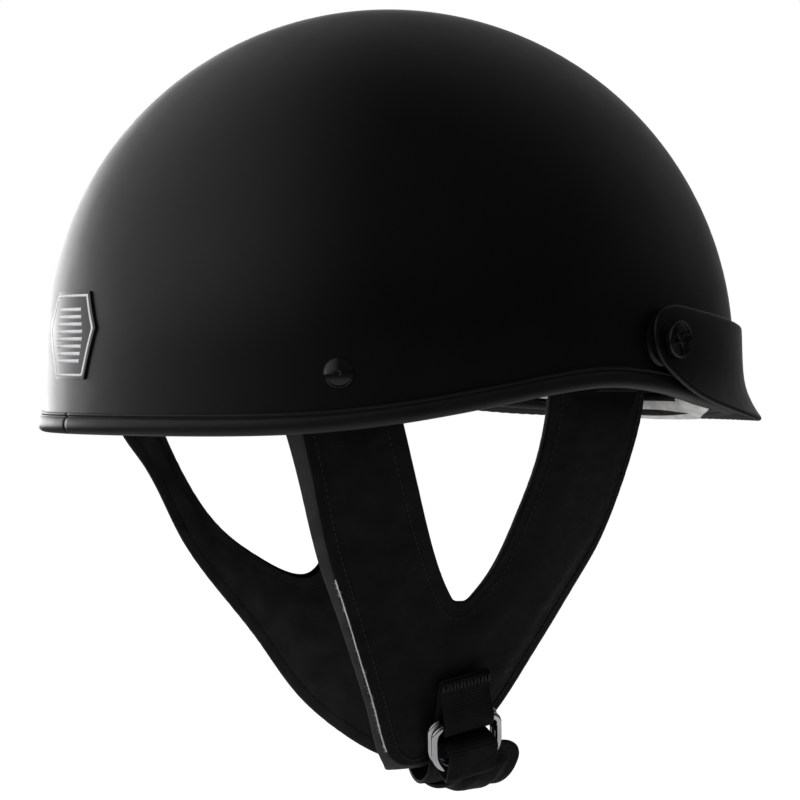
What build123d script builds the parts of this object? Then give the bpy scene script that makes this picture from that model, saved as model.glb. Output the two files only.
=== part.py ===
from build123d import *
from math import cos, degrees, hypot, pi, radians, sin, sqrt, tan
import os

# Half shell motorcycle helmet. Millimetres. X is the wearer's left, Y the rear, Z up.
# The origin is the middle of the head opening, at the height of the rim's lowest point.
# Stack heights on the shell's outside are counted outwards from its outer face.

# Shell: an elliptical dome above its widest line and upright walls below it
shell_length = 271
shell_width = 228
dome_height = 129.5
widest_line = 28.8
shell_wall = 3.5

# Rim: height above the rear edge, by the place along the length
rim_rise = 16.6
rim_shares = [(-1.03, 0.15), (-0.9, 0.30), (-0.7, 0.44), (-0.52, 0.61), (-0.38, 0.83), (-0.26, 0.95),
              (-0.15, 1.0), (-0.05, 0.95), (0.1, 0.77), (0.26, 0.53), (0.45, 0.26), (0.6, 0.10),
              (0.75, 0.02), (0.9, 0.0), (1.03, 0.0)]

# Rubber edge trim, a channel pushed over the shell's edge
trim_height = 7.6
trim_lip = 4.0
trim_floor = 2.0
trim_skin = 1.8
trim_seam = 0.5

# Foam liner, thin at the rim and thick at the crown, with a notch for each strap leg
glue_gap = 0.3
foam_rim_wall = 13.7
foam_crown_wall = 22
foam_rise = 8.0
notch_side_gap = 3.0
notch_top_gap = 4.0

# Fabric skirts that close the rim between the trim's inner lip and the foam's edge
skirt_gap = 0.3

# Comfort pads, placed by the angle round the head from the front
pad_thickness = 8.5
pad_gap = 0.35
pad_rim_gap = 1.5
pad_stations = 9
pad_curve_shares = [(0.0, 0.0), (0.06, 0.5), (0.3, 0.93), (0.5, 1.0), (0.7, 0.93), (0.94, 0.5), (1.0, 0.0)]
brow_pad_span = 104
brow_pad_height = 40
side_pad_middle = 105
side_pad_span = 24
side_pad_height = 32
nape_pad_span = 62
nape_pad_height = 40

# Crown pad: a crowned cushion with a sewn cross channel
crown_pad_length = 136
crown_pad_width = 112
crown_pad_thickness = 14
crown_pad_sink = 6
crown_channel_width = 4
crown_channel_depth = 2.5

# Hook discs that hold the pads, set half into the foam and half into the pads
disc_radius = 8
disc_thickness = 2.0
disc_seat_gap = 0.15
disc_height = 36
disc_angles = [-40, 40, -105, 105, 165, 195]

# Rear badge: a bare plate with six corners, bonded to the shell
badge_height = 31
badge_width = 36
badge_middle = 35
badge_thickness = 0.8
badge_widest_share = 0.17
badge_top_share = 0.68
badge_bottom_share = 0.62
badge_glue = 0.05

# Strap anchors: places on the shell's side, and the riveted or threaded stack
rear_anchor_y = 79.6
rear_anchor_z = 21.8
front_anchor_y = -45.5
front_anchor_z = 33.5
plate_width = 24
plate_height = 14
plate_thickness = 1.5
stack_gap = 0.1
shank_gap = 0.1
rivet_head_radius = 5.25
rivet_head_height = 3.0
rivet_shank_radius = 2.4
rivet_dimple_radius = 0.8
rivet_dimple_depth = 0.5
rivet_tail_radius = 4.2
rivet_tail_height = 1.2
post_radius = 4.2
post_flange_radius = 7
post_flange_height = 1.5
post_stand = 0.1

# Visor: a curved peak, hung on one screw at each side
visor_wall = 2.0
visor_levels = [2, 6, 10, 15, 20, 26, 33, 40, 50]
visor_side_stands = [16.1, 12.6, 10.2, 8.0, 6.6, 5.8, 5.5, 5.3, 5.2]
visor_front_stands = [11.4, 8.2, 5.4, 3.4, 2.7, 2.5, 2.5, 2.6, 2.8]
visor_top_side = 46.3
visor_top_front = 31
visor_low_front = 3.6
visor_end_radius = 11.1
visor_end_shift = 3.0
visor_hole_gap = 0.4
visor_low_shares = [(0.022, 0.5), (0.101, 0.66), (0.234, 0.81), (0.438, 0.945), (0.6, 0.99), (1.0, 1.0)]
visor_turn_gap = 0.35
visor_end_angle = 35

# Visor screw and the spacer boss behind the visor
screw_head_radius = 6.7
screw_head_height = 2.8
screw_head_dish = 1.2
screw_rim = 1.1
screw_cross_width = 1.6
screw_shank_radius = 2.5
screw_depth = 6.0
screw_run_gap = 0.05
boss_base_radius = 9.5
boss_top_radius = 7.0
boss_height = 1.7

# Chin strap surface: half widths and half lengths of its level sections
strap_levels = [40, 30, 12, -3, -28, -53, -78, -103, -120.2, -123.8, -126.7, -129.2]
strap_half_widths = [106, 103.5, 98, 91, 75.5, 59, 43.6, 28.1, 15.7, 13.1, 10.4, 6.3]
strap_half_lengths = [118, 117, 115.5, 112, 108, 104, 100, 95, 92, 91, 90, 88]
strap_middle = 5
lining_thickness = 1.9
cover_thickness = 1.9
web_thickness = 1.4
layer_gap = 0.25
cover_seam = 3.0
lining_proud = 0.8

# Side outlines of the strap panels, as shares of the strap's span and drop
strap_span = 82
strap_drop = 130
right_outline_shares = [(1.13, 0.25), (1.065, 0.1), (1.0, 0.0), (0.9, -0.152), (0.745, -0.36),
                        (0.635, -0.475), (0.46, -0.655), (0.29, -0.82), (0.185, -0.915), (0.103, -0.965),
                        (0.02, -0.985), (-0.1, -0.968), (-0.25, -0.9), (-0.36, -0.825), (-0.41, -0.755),
                        (-0.474, -0.647), (-0.543, -0.544), (-0.621, -0.427), (-0.69, -0.32),
                        (-0.712, -0.194), (-0.708, -0.078), (-0.69, 0.036), (-0.665, 0.12), (-0.64, 0.25)]
right_gap_shares = [(0.76, 0.25), (0.623, 0.021), (0.428, -0.206), (0.221, -0.398), (0.135, -0.46),
                    (0.065, -0.49), (-0.011, -0.445), (-0.067, -0.352), (-0.084, -0.222), (-0.084, -0.075),
                    (-0.048, 0.109), (-0.03, 0.25)]
left_outline_shares = [(1.13, 0.25), (1.05, 0.1), (0.977, -0.022), (0.898, -0.083), (0.818, -0.183),
                       (0.757, -0.306), (0.6, -0.475), (0.452, -0.618), (0.318, -0.775), (0.16, -0.879),
                       (0.0, -0.945), (-0.14, -0.968), (-0.3, -0.965), (-0.44, -0.93), (-0.52, -0.84),
                       (-0.545, -0.7), (-0.548, -0.5), (-0.55, -0.3), (-0.552, -0.1), (-0.55, 0.1),
                       (-0.55, 0.25)]
left_gap_shares = [(0.8, 0.25), (0.73, 0.06), (0.648, -0.129), (0.501, -0.31), (0.318, -0.402),
                   (0.221, -0.437), (0.087, -0.457), (-0.02, -0.42), (-0.067, -0.352), (-0.084, -0.222),
                   (-0.084, -0.075), (-0.048, 0.109), (-0.03, 0.25)]
rear_leg_top = 9
front_leg_top = 21
outline_stations = 60

# Webbing inside the panels, and the short hangers that join the panels to the shell
web_width = 25
rear_web_shares = [(0.87, 0.07), (0.62, -0.235), (0.27, -0.6), (0.05, -0.82)]
front_web_shares = [(-0.37, 0.165), (-0.41, -0.2), (-0.29, -0.58), (-0.13, -0.85)]
hanger_rise = 9
hanger_fall = 8.5
hanger_lap = 5
hanger_gap = 0.3
rear_lap_shift = -8
front_lap_shift = 14

# Chin buckle: two rings in a webbing loop, and the webbing threaded through them. The whole
# buckle is turned on the strap, so that the webbing runs forward as it passes under the chin.
buckle_y = -8.5
buckle_turn = 15
buckle_angle = 54.2
buckle_lead = 27
chin_radius = 16.1
chin_middle_z = -114.4
chin_stations = 10
buckle_web_width = 20
buckle_web_gap = 0.3
ring_wire = 3.0
ring_width = 26
ring_length = 19
ring_top_corner = 4
ring_low_corner = 8.5
ring_tilt = 14
ring_stack_gap = 0.2
ring_loop_gap = 0.4
loop_lead = 18
loop_close = 12
loop_corner = 1.8
fold_gap = 1.3
fold_corner = 2.8
thread_place = 9.5
tail_lead = 3
tongue_width = 26
tongue_y = -30.5
tongue_thickness = 3.2
tongue_tip = 12.5
tongue_lap = 10
tongue_corner = 11
web_lap = 14
bar_tack_length = 3.0
bar_tack_height = 0.5

overrun = 30

half_length = shell_length / 2
half_width = shell_width / 2
foam_outer = shell_wall + glue_gap
foam_inner = foam_outer + foam_rim_wall
foam_crown = foam_outer + foam_crown_wall


def dome(inset, crown_inset):
    """Solid inside the shell's outer face, drawn in by the insets at the side and the crown."""
    height = dome_height - crown_inset
    reach = (widest_line + overrun) / height
    edges = Polyline((0, 1), (0, -reach), (1, -reach), (1, 0)) + CenterArc((0, 0), 1, 0, 90)
    ball = revolve(Plane.YZ * make_face(edges), axis=Axis.Z)
    return Pos(0, 0, widest_line) * scale(ball, by=(half_width - inset, half_length - inset, height))


def rim_points(lift):
    return [(share_y * half_length, share_z * rim_rise + lift) for share_y, share_z in rim_shares]


def rim_height(y):
    """Height of the rim's lower edge at a place along the length."""
    points = rim_points(0)
    for (y_low, z_low), (y_high, z_high) in zip(points, points[1:]):
        if y <= y_high:
            return z_low + (z_high - z_low) * (y - y_low) / (y_high - y_low)
    return points[-1][1]


def side_prism(face):
    """A side view, with Y to the right and Z up, carried right across the helmet."""
    return extrude(Plane.YZ * face, amount=half_width + overrun, both=True)


def rim_band(low, high):
    """Everything between two curves that run along the rim at the given lifts."""
    lower = rim_points(low)
    upper = rim_points(high)
    edges = [Spline(*lower), Line(lower[-1], upper[-1]), Spline(*upper), Line(lower[0], upper[0])]
    return side_prism(make_face(edges))


def above_rim(lift):
    points = rim_points(lift)
    top = widest_line + dome_height + overrun
    edges = Spline(*points) + Polyline(points[-1], (points[-1][0], top), (points[0][0], top), points[0])
    return side_prism(make_face(edges))


def mirrored(solid):
    return mirror(solid, about=Plane.YZ)


def one(shape):
    """The largest solid of a result, which drops shavings that a cut leaves."""
    return max(shape.solids(), key=lambda solid: solid.volume)


def shell_half_width(y, z, inset):
    height = max(z - widest_line, 0) / (dome_height - inset)
    level = 1 - height**2 - (y / (half_length - inset)) ** 2
    return (half_width - inset) * sqrt(level)


def anchor_plane(y, z):
    """Frame on the shell's right side, with its Z straight out of the shell and its Y up."""
    x = -shell_half_width(y, z, 0)
    out = Vector(x / half_width**2, y / half_length**2, 0).normalized()
    along = Vector(0, 0, 1).cross(out)
    return Plane(origin=(x, y, z), x_dir=along, z_dir=out)


def outer_shell():
    body = (dome(0, 0) - dome(shell_wall, shell_wall)) & above_rim(trim_floor)
    for y, z, radius in [(rear_anchor_y, rear_anchor_z, rivet_shank_radius),
                         (front_anchor_y, front_anchor_z, post_radius)]:
        hole = anchor_plane(y, z) * Cylinder(radius + shank_gap, overrun)
        body = body - hole - mirrored(hole)
    return one(body)


def edge_trim():
    skin_inset = shell_wall + trim_skin
    ring = (dome(-trim_skin, -trim_skin) - dome(skin_inset, skin_inset)) & rim_band(0, trim_height)
    ring = ring - ((dome(0, 0) - dome(shell_wall, shell_wall)) & above_rim(trim_floor))
    ring = ring - (dome(shell_wall, shell_wall) & above_rim(trim_lip))
    seam = Pos(0, half_length, 0) * Box(trim_seam, overrun, overrun)
    return one(ring - seam)


def leg_notches():
    """Room for the four strap legs, their hangers and the fastener tails."""
    side = half_width / 2
    leg_front = min(right_outline_shares)[0] * strap_span
    plate_rear = rear_anchor_y + plate_width / 2
    rear_front = rear_anchor_y - plate_width - notch_side_gap
    rear = (rear_front, plate_rear + notch_side_gap, rear_anchor_z, side * 2 / 3)
    front = (leg_front - notch_side_gap, notch_side_gap, front_anchor_z, side)
    notches = []
    for y_low, y_high, anchor_z, clear in [rear, front]:
        top = anchor_z + hanger_rise + notch_top_gap
        depth = top + overrun
        width = half_width + overrun - clear
        block = Box(width, y_high - y_low, depth)
        notches.append(Pos(clear + width / 2, (y_low + y_high) / 2, top - depth / 2) * block)
    return notches + [mirrored(notch) for notch in notches]


def impact_liner():
    body = (dome(foam_outer, foam_outer) - dome(foam_inner, foam_crown)) & above_rim(foam_rise)
    for notch in leg_notches():
        body = body - notch
    for seat in disc_places(disc_seat_gap):
        body = body - seat
    return one(body)


def liner_skirts():
    """The fabric skirt round the rim, in the lengths that the strap notches leave."""
    inset = shell_wall + trim_skin + skirt_gap
    band = rim_band(trim_lip + skirt_gap, foam_rise - skirt_gap)
    ring = (dome(inset, inset) - dome(foam_inner, foam_crown)) & band
    for notch in leg_notches():
        ring = ring - notch
    return ring.solids()


def foam_point(angle, z, inset):
    """Point inside the foam's inner face, by its angle from the front and its height."""
    side = half_width - foam_inner
    front = half_length - foam_inner
    height = max(z - widest_line, 0) / (dome_height - foam_crown)
    reach = sqrt(1 - height**2) / hypot(sin(angle) / side, cos(angle) / front)
    return Vector((reach - inset) * sin(angle), -(reach - inset) * cos(angle), z)


def pad_section(angle, height, fullness):
    """Upright section of a pad: a back that follows the foam, and a crowned front."""
    low = rim_height(foam_point(angle, 0, 0).Y) + foam_rise + pad_rim_gap
    middle = low + height / 2
    back = []
    front = []
    for share, depth_share in pad_curve_shares:
        z = middle + (share * height - height / 2) * fullness
        back.append(foam_point(angle, z, pad_gap))
        front.append(foam_point(angle, z, pad_gap + pad_thickness * depth_share * fullness))
    edges = [Spline(*back[::3]), Spline(*front)]
    return make_face(edges)


def comfort_pad(middle, span, height):
    sections = []
    for step in range(pad_stations):
        share = 2 * step / (pad_stations - 1) - 1
        angle = radians(middle + share * span / 2)
        fullness = sqrt(sqrt(1 - share**2 * (1 - pad_curve_shares[1][0])))
        sections.append(pad_section(angle, height, fullness))
    body = loft(sections)
    for seat in disc_places(disc_seat_gap):
        body = body - seat
    return one(body)


def disc_places(gap):
    """Hook discs on the foam's inner face, larger by the gap for the seats that take them."""
    discs = []
    for angle_degrees in disc_angles:
        angle = radians(angle_degrees)
        centre = foam_point(angle, disc_height, 0)
        low, high = [foam_point(angle, disc_height + side * disc_radius, 0) for side in (-1, 1)]
        along = Vector(cos(angle), sin(angle), 0)
        seat = Plane(origin=centre, x_dir=along, z_dir=along.cross(high - low))
        discs.append(seat * Cylinder(disc_radius + gap, disc_thickness + 2 * gap))
    return discs


def crown_pad():
    top = widest_line + dome_height - foam_crown
    half = (crown_pad_width / 2, crown_pad_length / 2, crown_pad_thickness)
    lens = Pos(0, 0, top - crown_pad_sink) * scale(Sphere(1), by=half)
    lens = lens & dome(foam_inner + pad_gap, foam_crown + pad_gap)
    channel_z = top - crown_pad_sink - crown_pad_thickness
    for size in [(crown_channel_width, crown_pad_length), (crown_pad_width, crown_channel_width)]:
        lens = lens - Pos(0, 0, channel_z) * Box(size[0], size[1], crown_channel_depth * 2)
    return one(lens)


def rear_badge():
    middle = badge_height * (badge_widest_share + 1) / 2 - badge_height / 2
    half = badge_width / 2
    top = badge_height / 2
    corners = [(-half * badge_top_share, top), (half * badge_top_share, top), (half, middle),
               (half * badge_bottom_share, -top), (-half * badge_bottom_share, -top), (-half, middle)]
    outline = extrude(Plane.XZ * make_face(Polyline(*corners, close=True)), amount=-half_length - overrun)
    outline = Pos(0, 0, badge_middle) * outline
    outer = -badge_glue - badge_thickness
    return one((dome(outer, outer) - dome(-badge_glue, -badge_glue)) & outline)


def in_plane(plane, solid, height):
    """Place a solid whose base is at zero at a height out of an anchor plane."""
    return plane * (Pos(0, 0, height) * solid)


def disc(radius, height):
    return Cylinder(radius, height, align=(Align.CENTER, Align.CENTER, Align.MIN))


def shell_sag(reach):
    """How far the shell's inner face falls away from a flat plate that reaches this far."""
    return reach**2 / (2 * half_width - 2 * shell_wall)


def hanger_inset(y, z):
    """Depth of a hanger's outer face, clear of the shell where it curves in above the anchor."""
    lean = shell_half_width(y, z, 0) - shell_half_width(y, z + hanger_rise, 0)
    return shell_wall + shell_sag(web_width / 2) + lean + stack_gap


def plate_inset(y, z):
    return hanger_inset(y, z) + web_thickness + stack_gap + plate_thickness


def strap_rivet():
    plane = anchor_plane(rear_anchor_y, rear_anchor_z)
    length = plate_inset(rear_anchor_y, rear_anchor_z) + stack_gap
    crown = (rivet_head_radius**2 + rivet_head_height**2) / (2 * rivet_head_height)
    head = Pos(0, 0, rivet_head_height - crown) * Sphere(crown)
    head = head & disc(rivet_head_radius, rivet_head_height)
    dimple = Pos(0, 0, rivet_head_height) * Cylinder(rivet_dimple_radius, 2 * rivet_dimple_depth)
    rivet = head - dimple + Pos(0, 0, -length) * disc(rivet_shank_radius, length + rivet_head_height / 2)
    rivet = rivet + Pos(0, 0, -length - rivet_tail_height) * disc(rivet_tail_radius, rivet_tail_height)
    return one(in_plane(plane, rivet, badge_glue))


def visor_post():
    """Threaded post through the shell: it clamps the front strap hanger and takes the screw."""
    plane = anchor_plane(front_anchor_y, front_anchor_z)
    length = plate_inset(front_anchor_y, front_anchor_z) + stack_gap
    post = Pos(0, 0, -length) * disc(post_radius, length + post_stand)
    post = post + Pos(0, 0, -length - post_flange_height) * disc(post_flange_radius, post_flange_height)
    bore = Cylinder(screw_shank_radius + screw_run_gap, overrun * 2)
    return one(in_plane(plane, post - bore, 0))


def anchor_plate(y, z, hole_radius):
    plane = anchor_plane(y, z)
    corner = plate_height / 4
    outline = RectangleRounded(plate_width, plate_height, corner) - Circle(hole_radius + shank_gap)
    return one(in_plane(plane, extrude(outline, amount=plate_thickness), -plate_inset(y, z)))


def visor_boss():
    """Spacer behind the visor, on the end of the post."""
    plane = anchor_plane(front_anchor_y, front_anchor_z)
    boss = Cone(boss_base_radius, boss_top_radius, boss_height, align=(Align.CENTER, Align.CENTER, Align.MIN))
    bore = Cylinder(screw_shank_radius + screw_run_gap * 2, overrun)
    return one(in_plane(plane, boss - bore, post_stand + stack_gap))


def visor_stand(z):
    """How far the visor's outer face stands off the shell's side at a height."""
    places = list(zip(visor_levels, visor_side_stands))
    for (low, low_stand), (high, high_stand) in zip(places, places[1:]):
        if z <= high:
            return low_stand + (high_stand - low_stand) * (z - low) / (high - low)
    return visor_side_stands[-1]


def visor_screw():
    plane = anchor_plane(front_anchor_y, front_anchor_z)
    seat = visor_stand(front_anchor_z) + visor_turn_gap * 2
    head = disc(screw_head_radius, screw_head_height)
    head = chamfer(head.edges().group_by(Axis.Z)[-1], screw_rim / 2)
    dish_floor = screw_head_height - screw_head_dish
    dish = Pos(0, 0, dish_floor) * disc(screw_head_radius - screw_rim, screw_head_dish)
    cross_length = 2 * screw_head_radius - screw_rim
    cross = Box(cross_length, screw_cross_width, screw_head_dish)
    cross = cross + Box(screw_cross_width, cross_length, screw_head_dish)
    head = head - dish + Pos(0, 0, dish_floor) * cross
    shank = Pos(0, 0, -seat - screw_depth) * disc(screw_shank_radius, seat + screw_depth)
    return one(in_plane(plane, head + shank, seat))


def visor_bowl(inset):
    sections = []
    for z, side, front in zip(visor_levels, visor_side_stands, visor_front_stands):
        height = max(z - widest_line, 0) / dome_height
        level = sqrt(1 - height**2)
        section = Ellipse(half_width * level + side - inset, half_length * level + front - inset)
        sections.append(Pos(0, 0, z) * section)
    return loft(sections)


def visor():
    plane = anchor_plane(front_anchor_y, front_anchor_z)
    centre_y = front_anchor_y - visor_end_shift
    front = -half_length - visor_front_stands[0] - overrun
    top_y = centre_y - visor_end_radius / 4
    span = front - centre_y
    turn = radians(visor_end_angle)
    end_low = (centre_y + visor_end_radius * sin(turn), front_anchor_z - visor_end_radius * cos(turn))
    drop = front_anchor_z - visor_low_front
    low = []
    for share_y, share_z in visor_low_shares:
        low.append((centre_y + share_y * span, front_anchor_z - share_z * drop))
    end_back = (centre_y + visor_end_radius, front_anchor_z)
    end_top = (top_y, visor_top_side)
    edges = [Spline(end_top, end_back, end_low, tangents=[(1, 0), (-1, -1)]),
             Spline(end_low, *low),
             Polyline(low[-1], (front, visor_top_front), end_top)]
    outline = make_face([edge for curve in edges for edge in curve.edges()])
    body = (visor_bowl(0) - visor_bowl(visor_wall)) & side_prism(outline)
    hole = plane * Cylinder(screw_shank_radius + visor_hole_gap, overrun)
    return one(body - hole - mirrored(hole))


cover_outer = web_thickness / 2 + layer_gap + cover_thickness
lining_inner = web_thickness / 2 + layer_gap + lining_thickness


def strap_slopes():
    """Outward slope of the strap surface at each level, as a side and a height share."""
    last = len(strap_levels) - 1
    slopes = []
    for place in range(last + 1):
        above = max(place - 1, 0)
        below = min(place + 1, last)
        side = strap_half_widths[above] - strap_half_widths[below]
        height = strap_levels[above] - strap_levels[below]
        slopes.append((height / hypot(side, height), -side / hypot(side, height)))
    return slopes


def strap_bowl(offset):
    """Solid bowl that the strap panels are cut from, grown or shrunk by an offset."""
    sections = []
    sizes = zip(strap_levels, strap_half_widths, strap_half_lengths, strap_slopes())
    for z, width, length, (side, height) in sizes:
        section = Ellipse(width + offset * side, length + offset * side)
        sections.append(Pos(0, strap_middle, z + offset * height) * section)
    return loft(sections)


def strap_point(y, z, offset):
    """Point off the strap surface on the right side, with the ways out of it and along it."""
    place = max(place for place, level in enumerate(strap_levels[:-1]) if level >= z)
    share = (strap_levels[place] - z) / (strap_levels[place] - strap_levels[place + 1])
    wide, narrow = strap_half_widths[place:place + 2]
    long, short = strap_half_lengths[place:place + 2]
    width = wide + (narrow - wide) * share
    length = long + (short - long) * share
    rise = (wide - narrow) / (strap_levels[place] - strap_levels[place + 1])
    across = (y - strap_middle) / length
    x = -width * sqrt(1 - across**2)
    out = Vector(x / width**2, across / length, -(x**2) / width**3 * rise).normalized()
    along = Vector(0, 0, 1).cross(out).normalized()
    return Vector(x, y, z) + out * offset, out, along


def strap_view(shares):
    return [(share_y * strap_span, share_z * strap_drop) for share_y, share_z in shares]


def moved_out(points, amount):
    """A curve through the points, drawn again at a distance to the left of its run."""
    curve = Spline(*points)
    moved = []
    for step in range(outline_stations + 1):
        point = curve @ (step / outline_stations)
        run = curve % (step / outline_stations)
        moved.append((point.X - run.Y * amount, point.Y + run.X * amount))
    return Spline(*moved), Line(moved[-1], moved[0])


def panel_face(outline_shares, gap_shares, grow):
    """Side view of a strap panel: a V of two legs with level tops, grown all round."""
    gap = strap_view(gap_shares)
    face = make_face(moved_out(strap_view(outline_shares), grow)) - make_face(moved_out(gap, -grow))
    middle = (gap[0][0] + gap[-1][0]) / 2
    for leg_top, side in [(front_leg_top, -strap_span), (rear_leg_top, strap_span)]:
        low = leg_top + grow
        above = Rectangle(2 * strap_span, strap_drop, align=(Align.CENTER, Align.MIN))
        face = face - Pos(middle + side, low) * above
    return face


def strap_layer(face, low, high, side):
    reach = side * (half_width + overrun)
    return (strap_bowl(high) - strap_bowl(low)) & extrude(Plane.YZ * face, amount=reach)


def strap_cover(view, side):
    """Outer fabric, with a seam along its edges that closes over the webbing inside."""
    body = strap_layer(panel_face(*view, 0), -web_thickness / 2, cover_outer, side)
    pocket = panel_face(*view, -cover_seam)
    return one(body - strap_layer(pocket, -web_thickness, cover_outer - cover_thickness, side))


def strap_lining(view, side):
    lining_outer = web_thickness / 2 + layer_gap
    return one(strap_layer(panel_face(*view, lining_proud), -lining_inner, -lining_outer, side))


def strap_webbing(view, side):
    inside = panel_face(*view, -cover_seam - layer_gap)
    legs = [trace(Spline(*strap_view(shares)), web_width) for shares in [rear_web_shares, front_web_shares]]
    return one(strap_layer((legs[0] + legs[1]) & inside, -web_thickness / 2, web_thickness / 2, side))


def strip(stations, width, thickness):
    """A flat strip through stations, each with its middle, its way out and its way along."""
    sections = []
    for middle, out, along in stations:
        side = along * (width / 2)
        face = out * (thickness / 2)
        corners = [middle + side + face, middle + side - face, middle - side - face, middle - side + face]
        sections.append(make_face(Polyline(*corners, close=True)))
    return one(loft(sections, ruled=True))


def strap_hanger(anchor_y, anchor_z, leg_top, shift, hole_radius):
    """Webbing from the fastener on the shell's inner face down on to the top of a strap leg."""
    plane = anchor_plane(anchor_y, anchor_z)
    flat = plane.origin - plane.z_dir * (hanger_inset(anchor_y, anchor_z) + web_thickness / 2)
    lap_offset = cover_outer + hanger_gap + web_thickness / 2
    top, top_out, top_along = strap_point(anchor_y + shift, leg_top, lap_offset)
    low, low_out, low_along = strap_point(anchor_y + shift, leg_top - hanger_lap, lap_offset)
    bend = (plane.z_dir + top_out).normalized()
    stations = [(flat + Vector(0, 0, hanger_rise), plane.z_dir, plane.x_dir),
                (flat - Vector(0, 0, hanger_fall), bend, plane.x_dir),
                (top, top_out, top_along),
                (low, low_out, low_along)]
    hole = plane * Cylinder(hole_radius + shank_gap, overrun)
    return one(strip(stations, web_width, web_thickness) - hole)


arm_along = Vector(cos(radians(buckle_angle)), -sin(radians(buckle_angle)))
arm_out = Vector(-sin(radians(buckle_angle)), -cos(radians(buckle_angle)))
web_line = cover_outer + buckle_web_gap + web_thickness / 2
inner_bar = web_line + web_thickness / 2 + ring_loop_gap + ring_wire / 2
outer_bar = inner_bar + ring_wire + ring_stack_gap
tongue_line = web_line + web_thickness / 2 + buckle_web_gap + tongue_thickness / 2
tail_line = tongue_line + tongue_thickness / 2 + buckle_web_gap + web_thickness / 2


def arm(along, out):
    """Front view point on the right arm under the chin: down along it and out from it."""
    tangent = Vector(0, chin_middle_z) + arm_out * (chin_radius + out)
    point = tangent + arm_along * (along - buckle_lead)
    return (point.X, point.Y)


def left_arm(along, out):
    x, z = arm(along, out)
    return (-x, z)


def chin_arc(out):
    turn = 90 - buckle_angle
    return CenterArc((0, chin_middle_z), chin_radius + out, 180 + turn, 180 - 2 * turn)


def front_extrude(path, thickness, width, y):
    """A band of the given thickness along a front view path, carried along the length."""
    plane = Plane.XZ.offset(-y)
    return extrude(plane * trace(path, thickness), amount=width / 2, both=True)


def turned(solid):
    """Turn a piece of the buckle on the strap, about the way out of the right arm."""
    x, z = arm(0, web_line)
    return solid.rotate(Axis((x, buckle_y, z), (arm_out.X, 0, arm_out.Y)), buckle_turn)


def chin_place(run, line):
    """Front view point along the path from the rings to the left arm, and its way out."""
    turn = (run - buckle_lead) / (chin_radius + line)
    sweep_angle = radians(2 * buckle_angle)
    if turn < 0:
        return arm(run, line), (arm_out.X, arm_out.Y)
    if turn > sweep_angle:
        past = run - buckle_lead - sweep_angle * (chin_radius + line)
        return left_arm(buckle_lead - past, line), (-arm_out.X, arm_out.Y)
    turn = turn - radians(buckle_angle)
    reach = chin_radius + line
    return (reach * sin(turn), chin_middle_z - reach * cos(turn)), (sin(turn), -cos(turn))


def chin_band():
    """Webbing under the chin, which runs forward from the rings to the left strap."""
    arc = (chin_radius + web_line) * radians(2 * buckle_angle)
    runs = [thread_place * 2]
    for step in range(chin_stations + 1):
        runs.append(buckle_lead + arc * step / chin_stations)
    runs.append(buckle_lead + arc + web_lap)
    stations = []
    for run in runs:
        (x, z), (out_x, out_z) = chin_place(run, web_line)
        y = buckle_y - run * tan(radians(buckle_turn))
        stations.append((Vector(x, y, z), Vector(out_x, 0, out_z), Vector(0, 1, 0)))
    return strip(stations, buckle_web_width / cos(radians(buckle_turn)), web_thickness)


def ring_loop():
    """Webbing that leaves the right cover, goes round both rings' bars and comes back."""
    end = ring_wire / 2 + ring_loop_gap + web_thickness / 2
    top = outer_bar + end
    back = web_line + web_thickness + layer_gap
    points = [arm(-loop_lead, web_line), arm(end, web_line), arm(end, top), arm(-end, top),
              arm(-loop_close, back), arm(-loop_lead, back)]
    path = FilletPolyline(*points, radius=loop_corner)
    return one(turned(front_extrude(path, web_thickness, buckle_web_width, buckle_y)))


def bar_tack():
    height = web_line + web_thickness * 3 / 2 + layer_gap + bar_tack_height / 2 + badge_glue
    path = Line(arm(-loop_lead, height), arm(-loop_lead + bar_tack_length, height))
    return one(turned(front_extrude(path, bar_tack_height, buckle_web_width, buckle_y)))


def ring_place(line, along):
    """Front view middle of a ring's wire, a distance along the ring from its bar."""
    tilt = radians(ring_tilt)
    return along * cos(tilt), line + along * sin(tilt)


def threaded_web():
    """Left webbing: under the chin, up through both rings, over the outer one and down."""
    ring_s, ring_n = ring_place(outer_bar, ring_length)
    wrap = ring_wire / 2 + fold_gap + web_thickness / 2
    points = [arm(buckle_lead - fold_corner * 2, web_line), arm(thread_place, web_line),
              arm(thread_place - wrap, ring_n + wrap), arm(ring_s + wrap, ring_n + wrap),
              arm(ring_s + wrap, tail_line), arm(ring_s + wrap + tail_lead, tail_line)]
    path = FilletPolyline(*points, radius=fold_corner)
    rise = front_extrude(path, web_thickness, buckle_web_width, buckle_y)
    return one(turned(rise) + chin_band())


def chin_tongue():
    """Padded end of the left strap, which lies under the rings."""
    left_end = Line(left_arm(buckle_lead - tongue_lap, tongue_line), left_arm(buckle_lead, tongue_line))
    right_end = Line(arm(buckle_lead, tongue_line), arm(buckle_lead - tongue_tip, tongue_line))
    path = left_end + chin_arc(tongue_line) + right_end
    body = front_extrude(path, tongue_thickness, tongue_width, tongue_y)
    ends = [edge for edge in body.edges() if abs(edge.length - tongue_thickness) < layer_gap]
    corners = [edge for edge in ends if edge.center().Z > chin_middle_z - chin_radius]
    return one(fillet(corners, tongue_corner))


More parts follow.
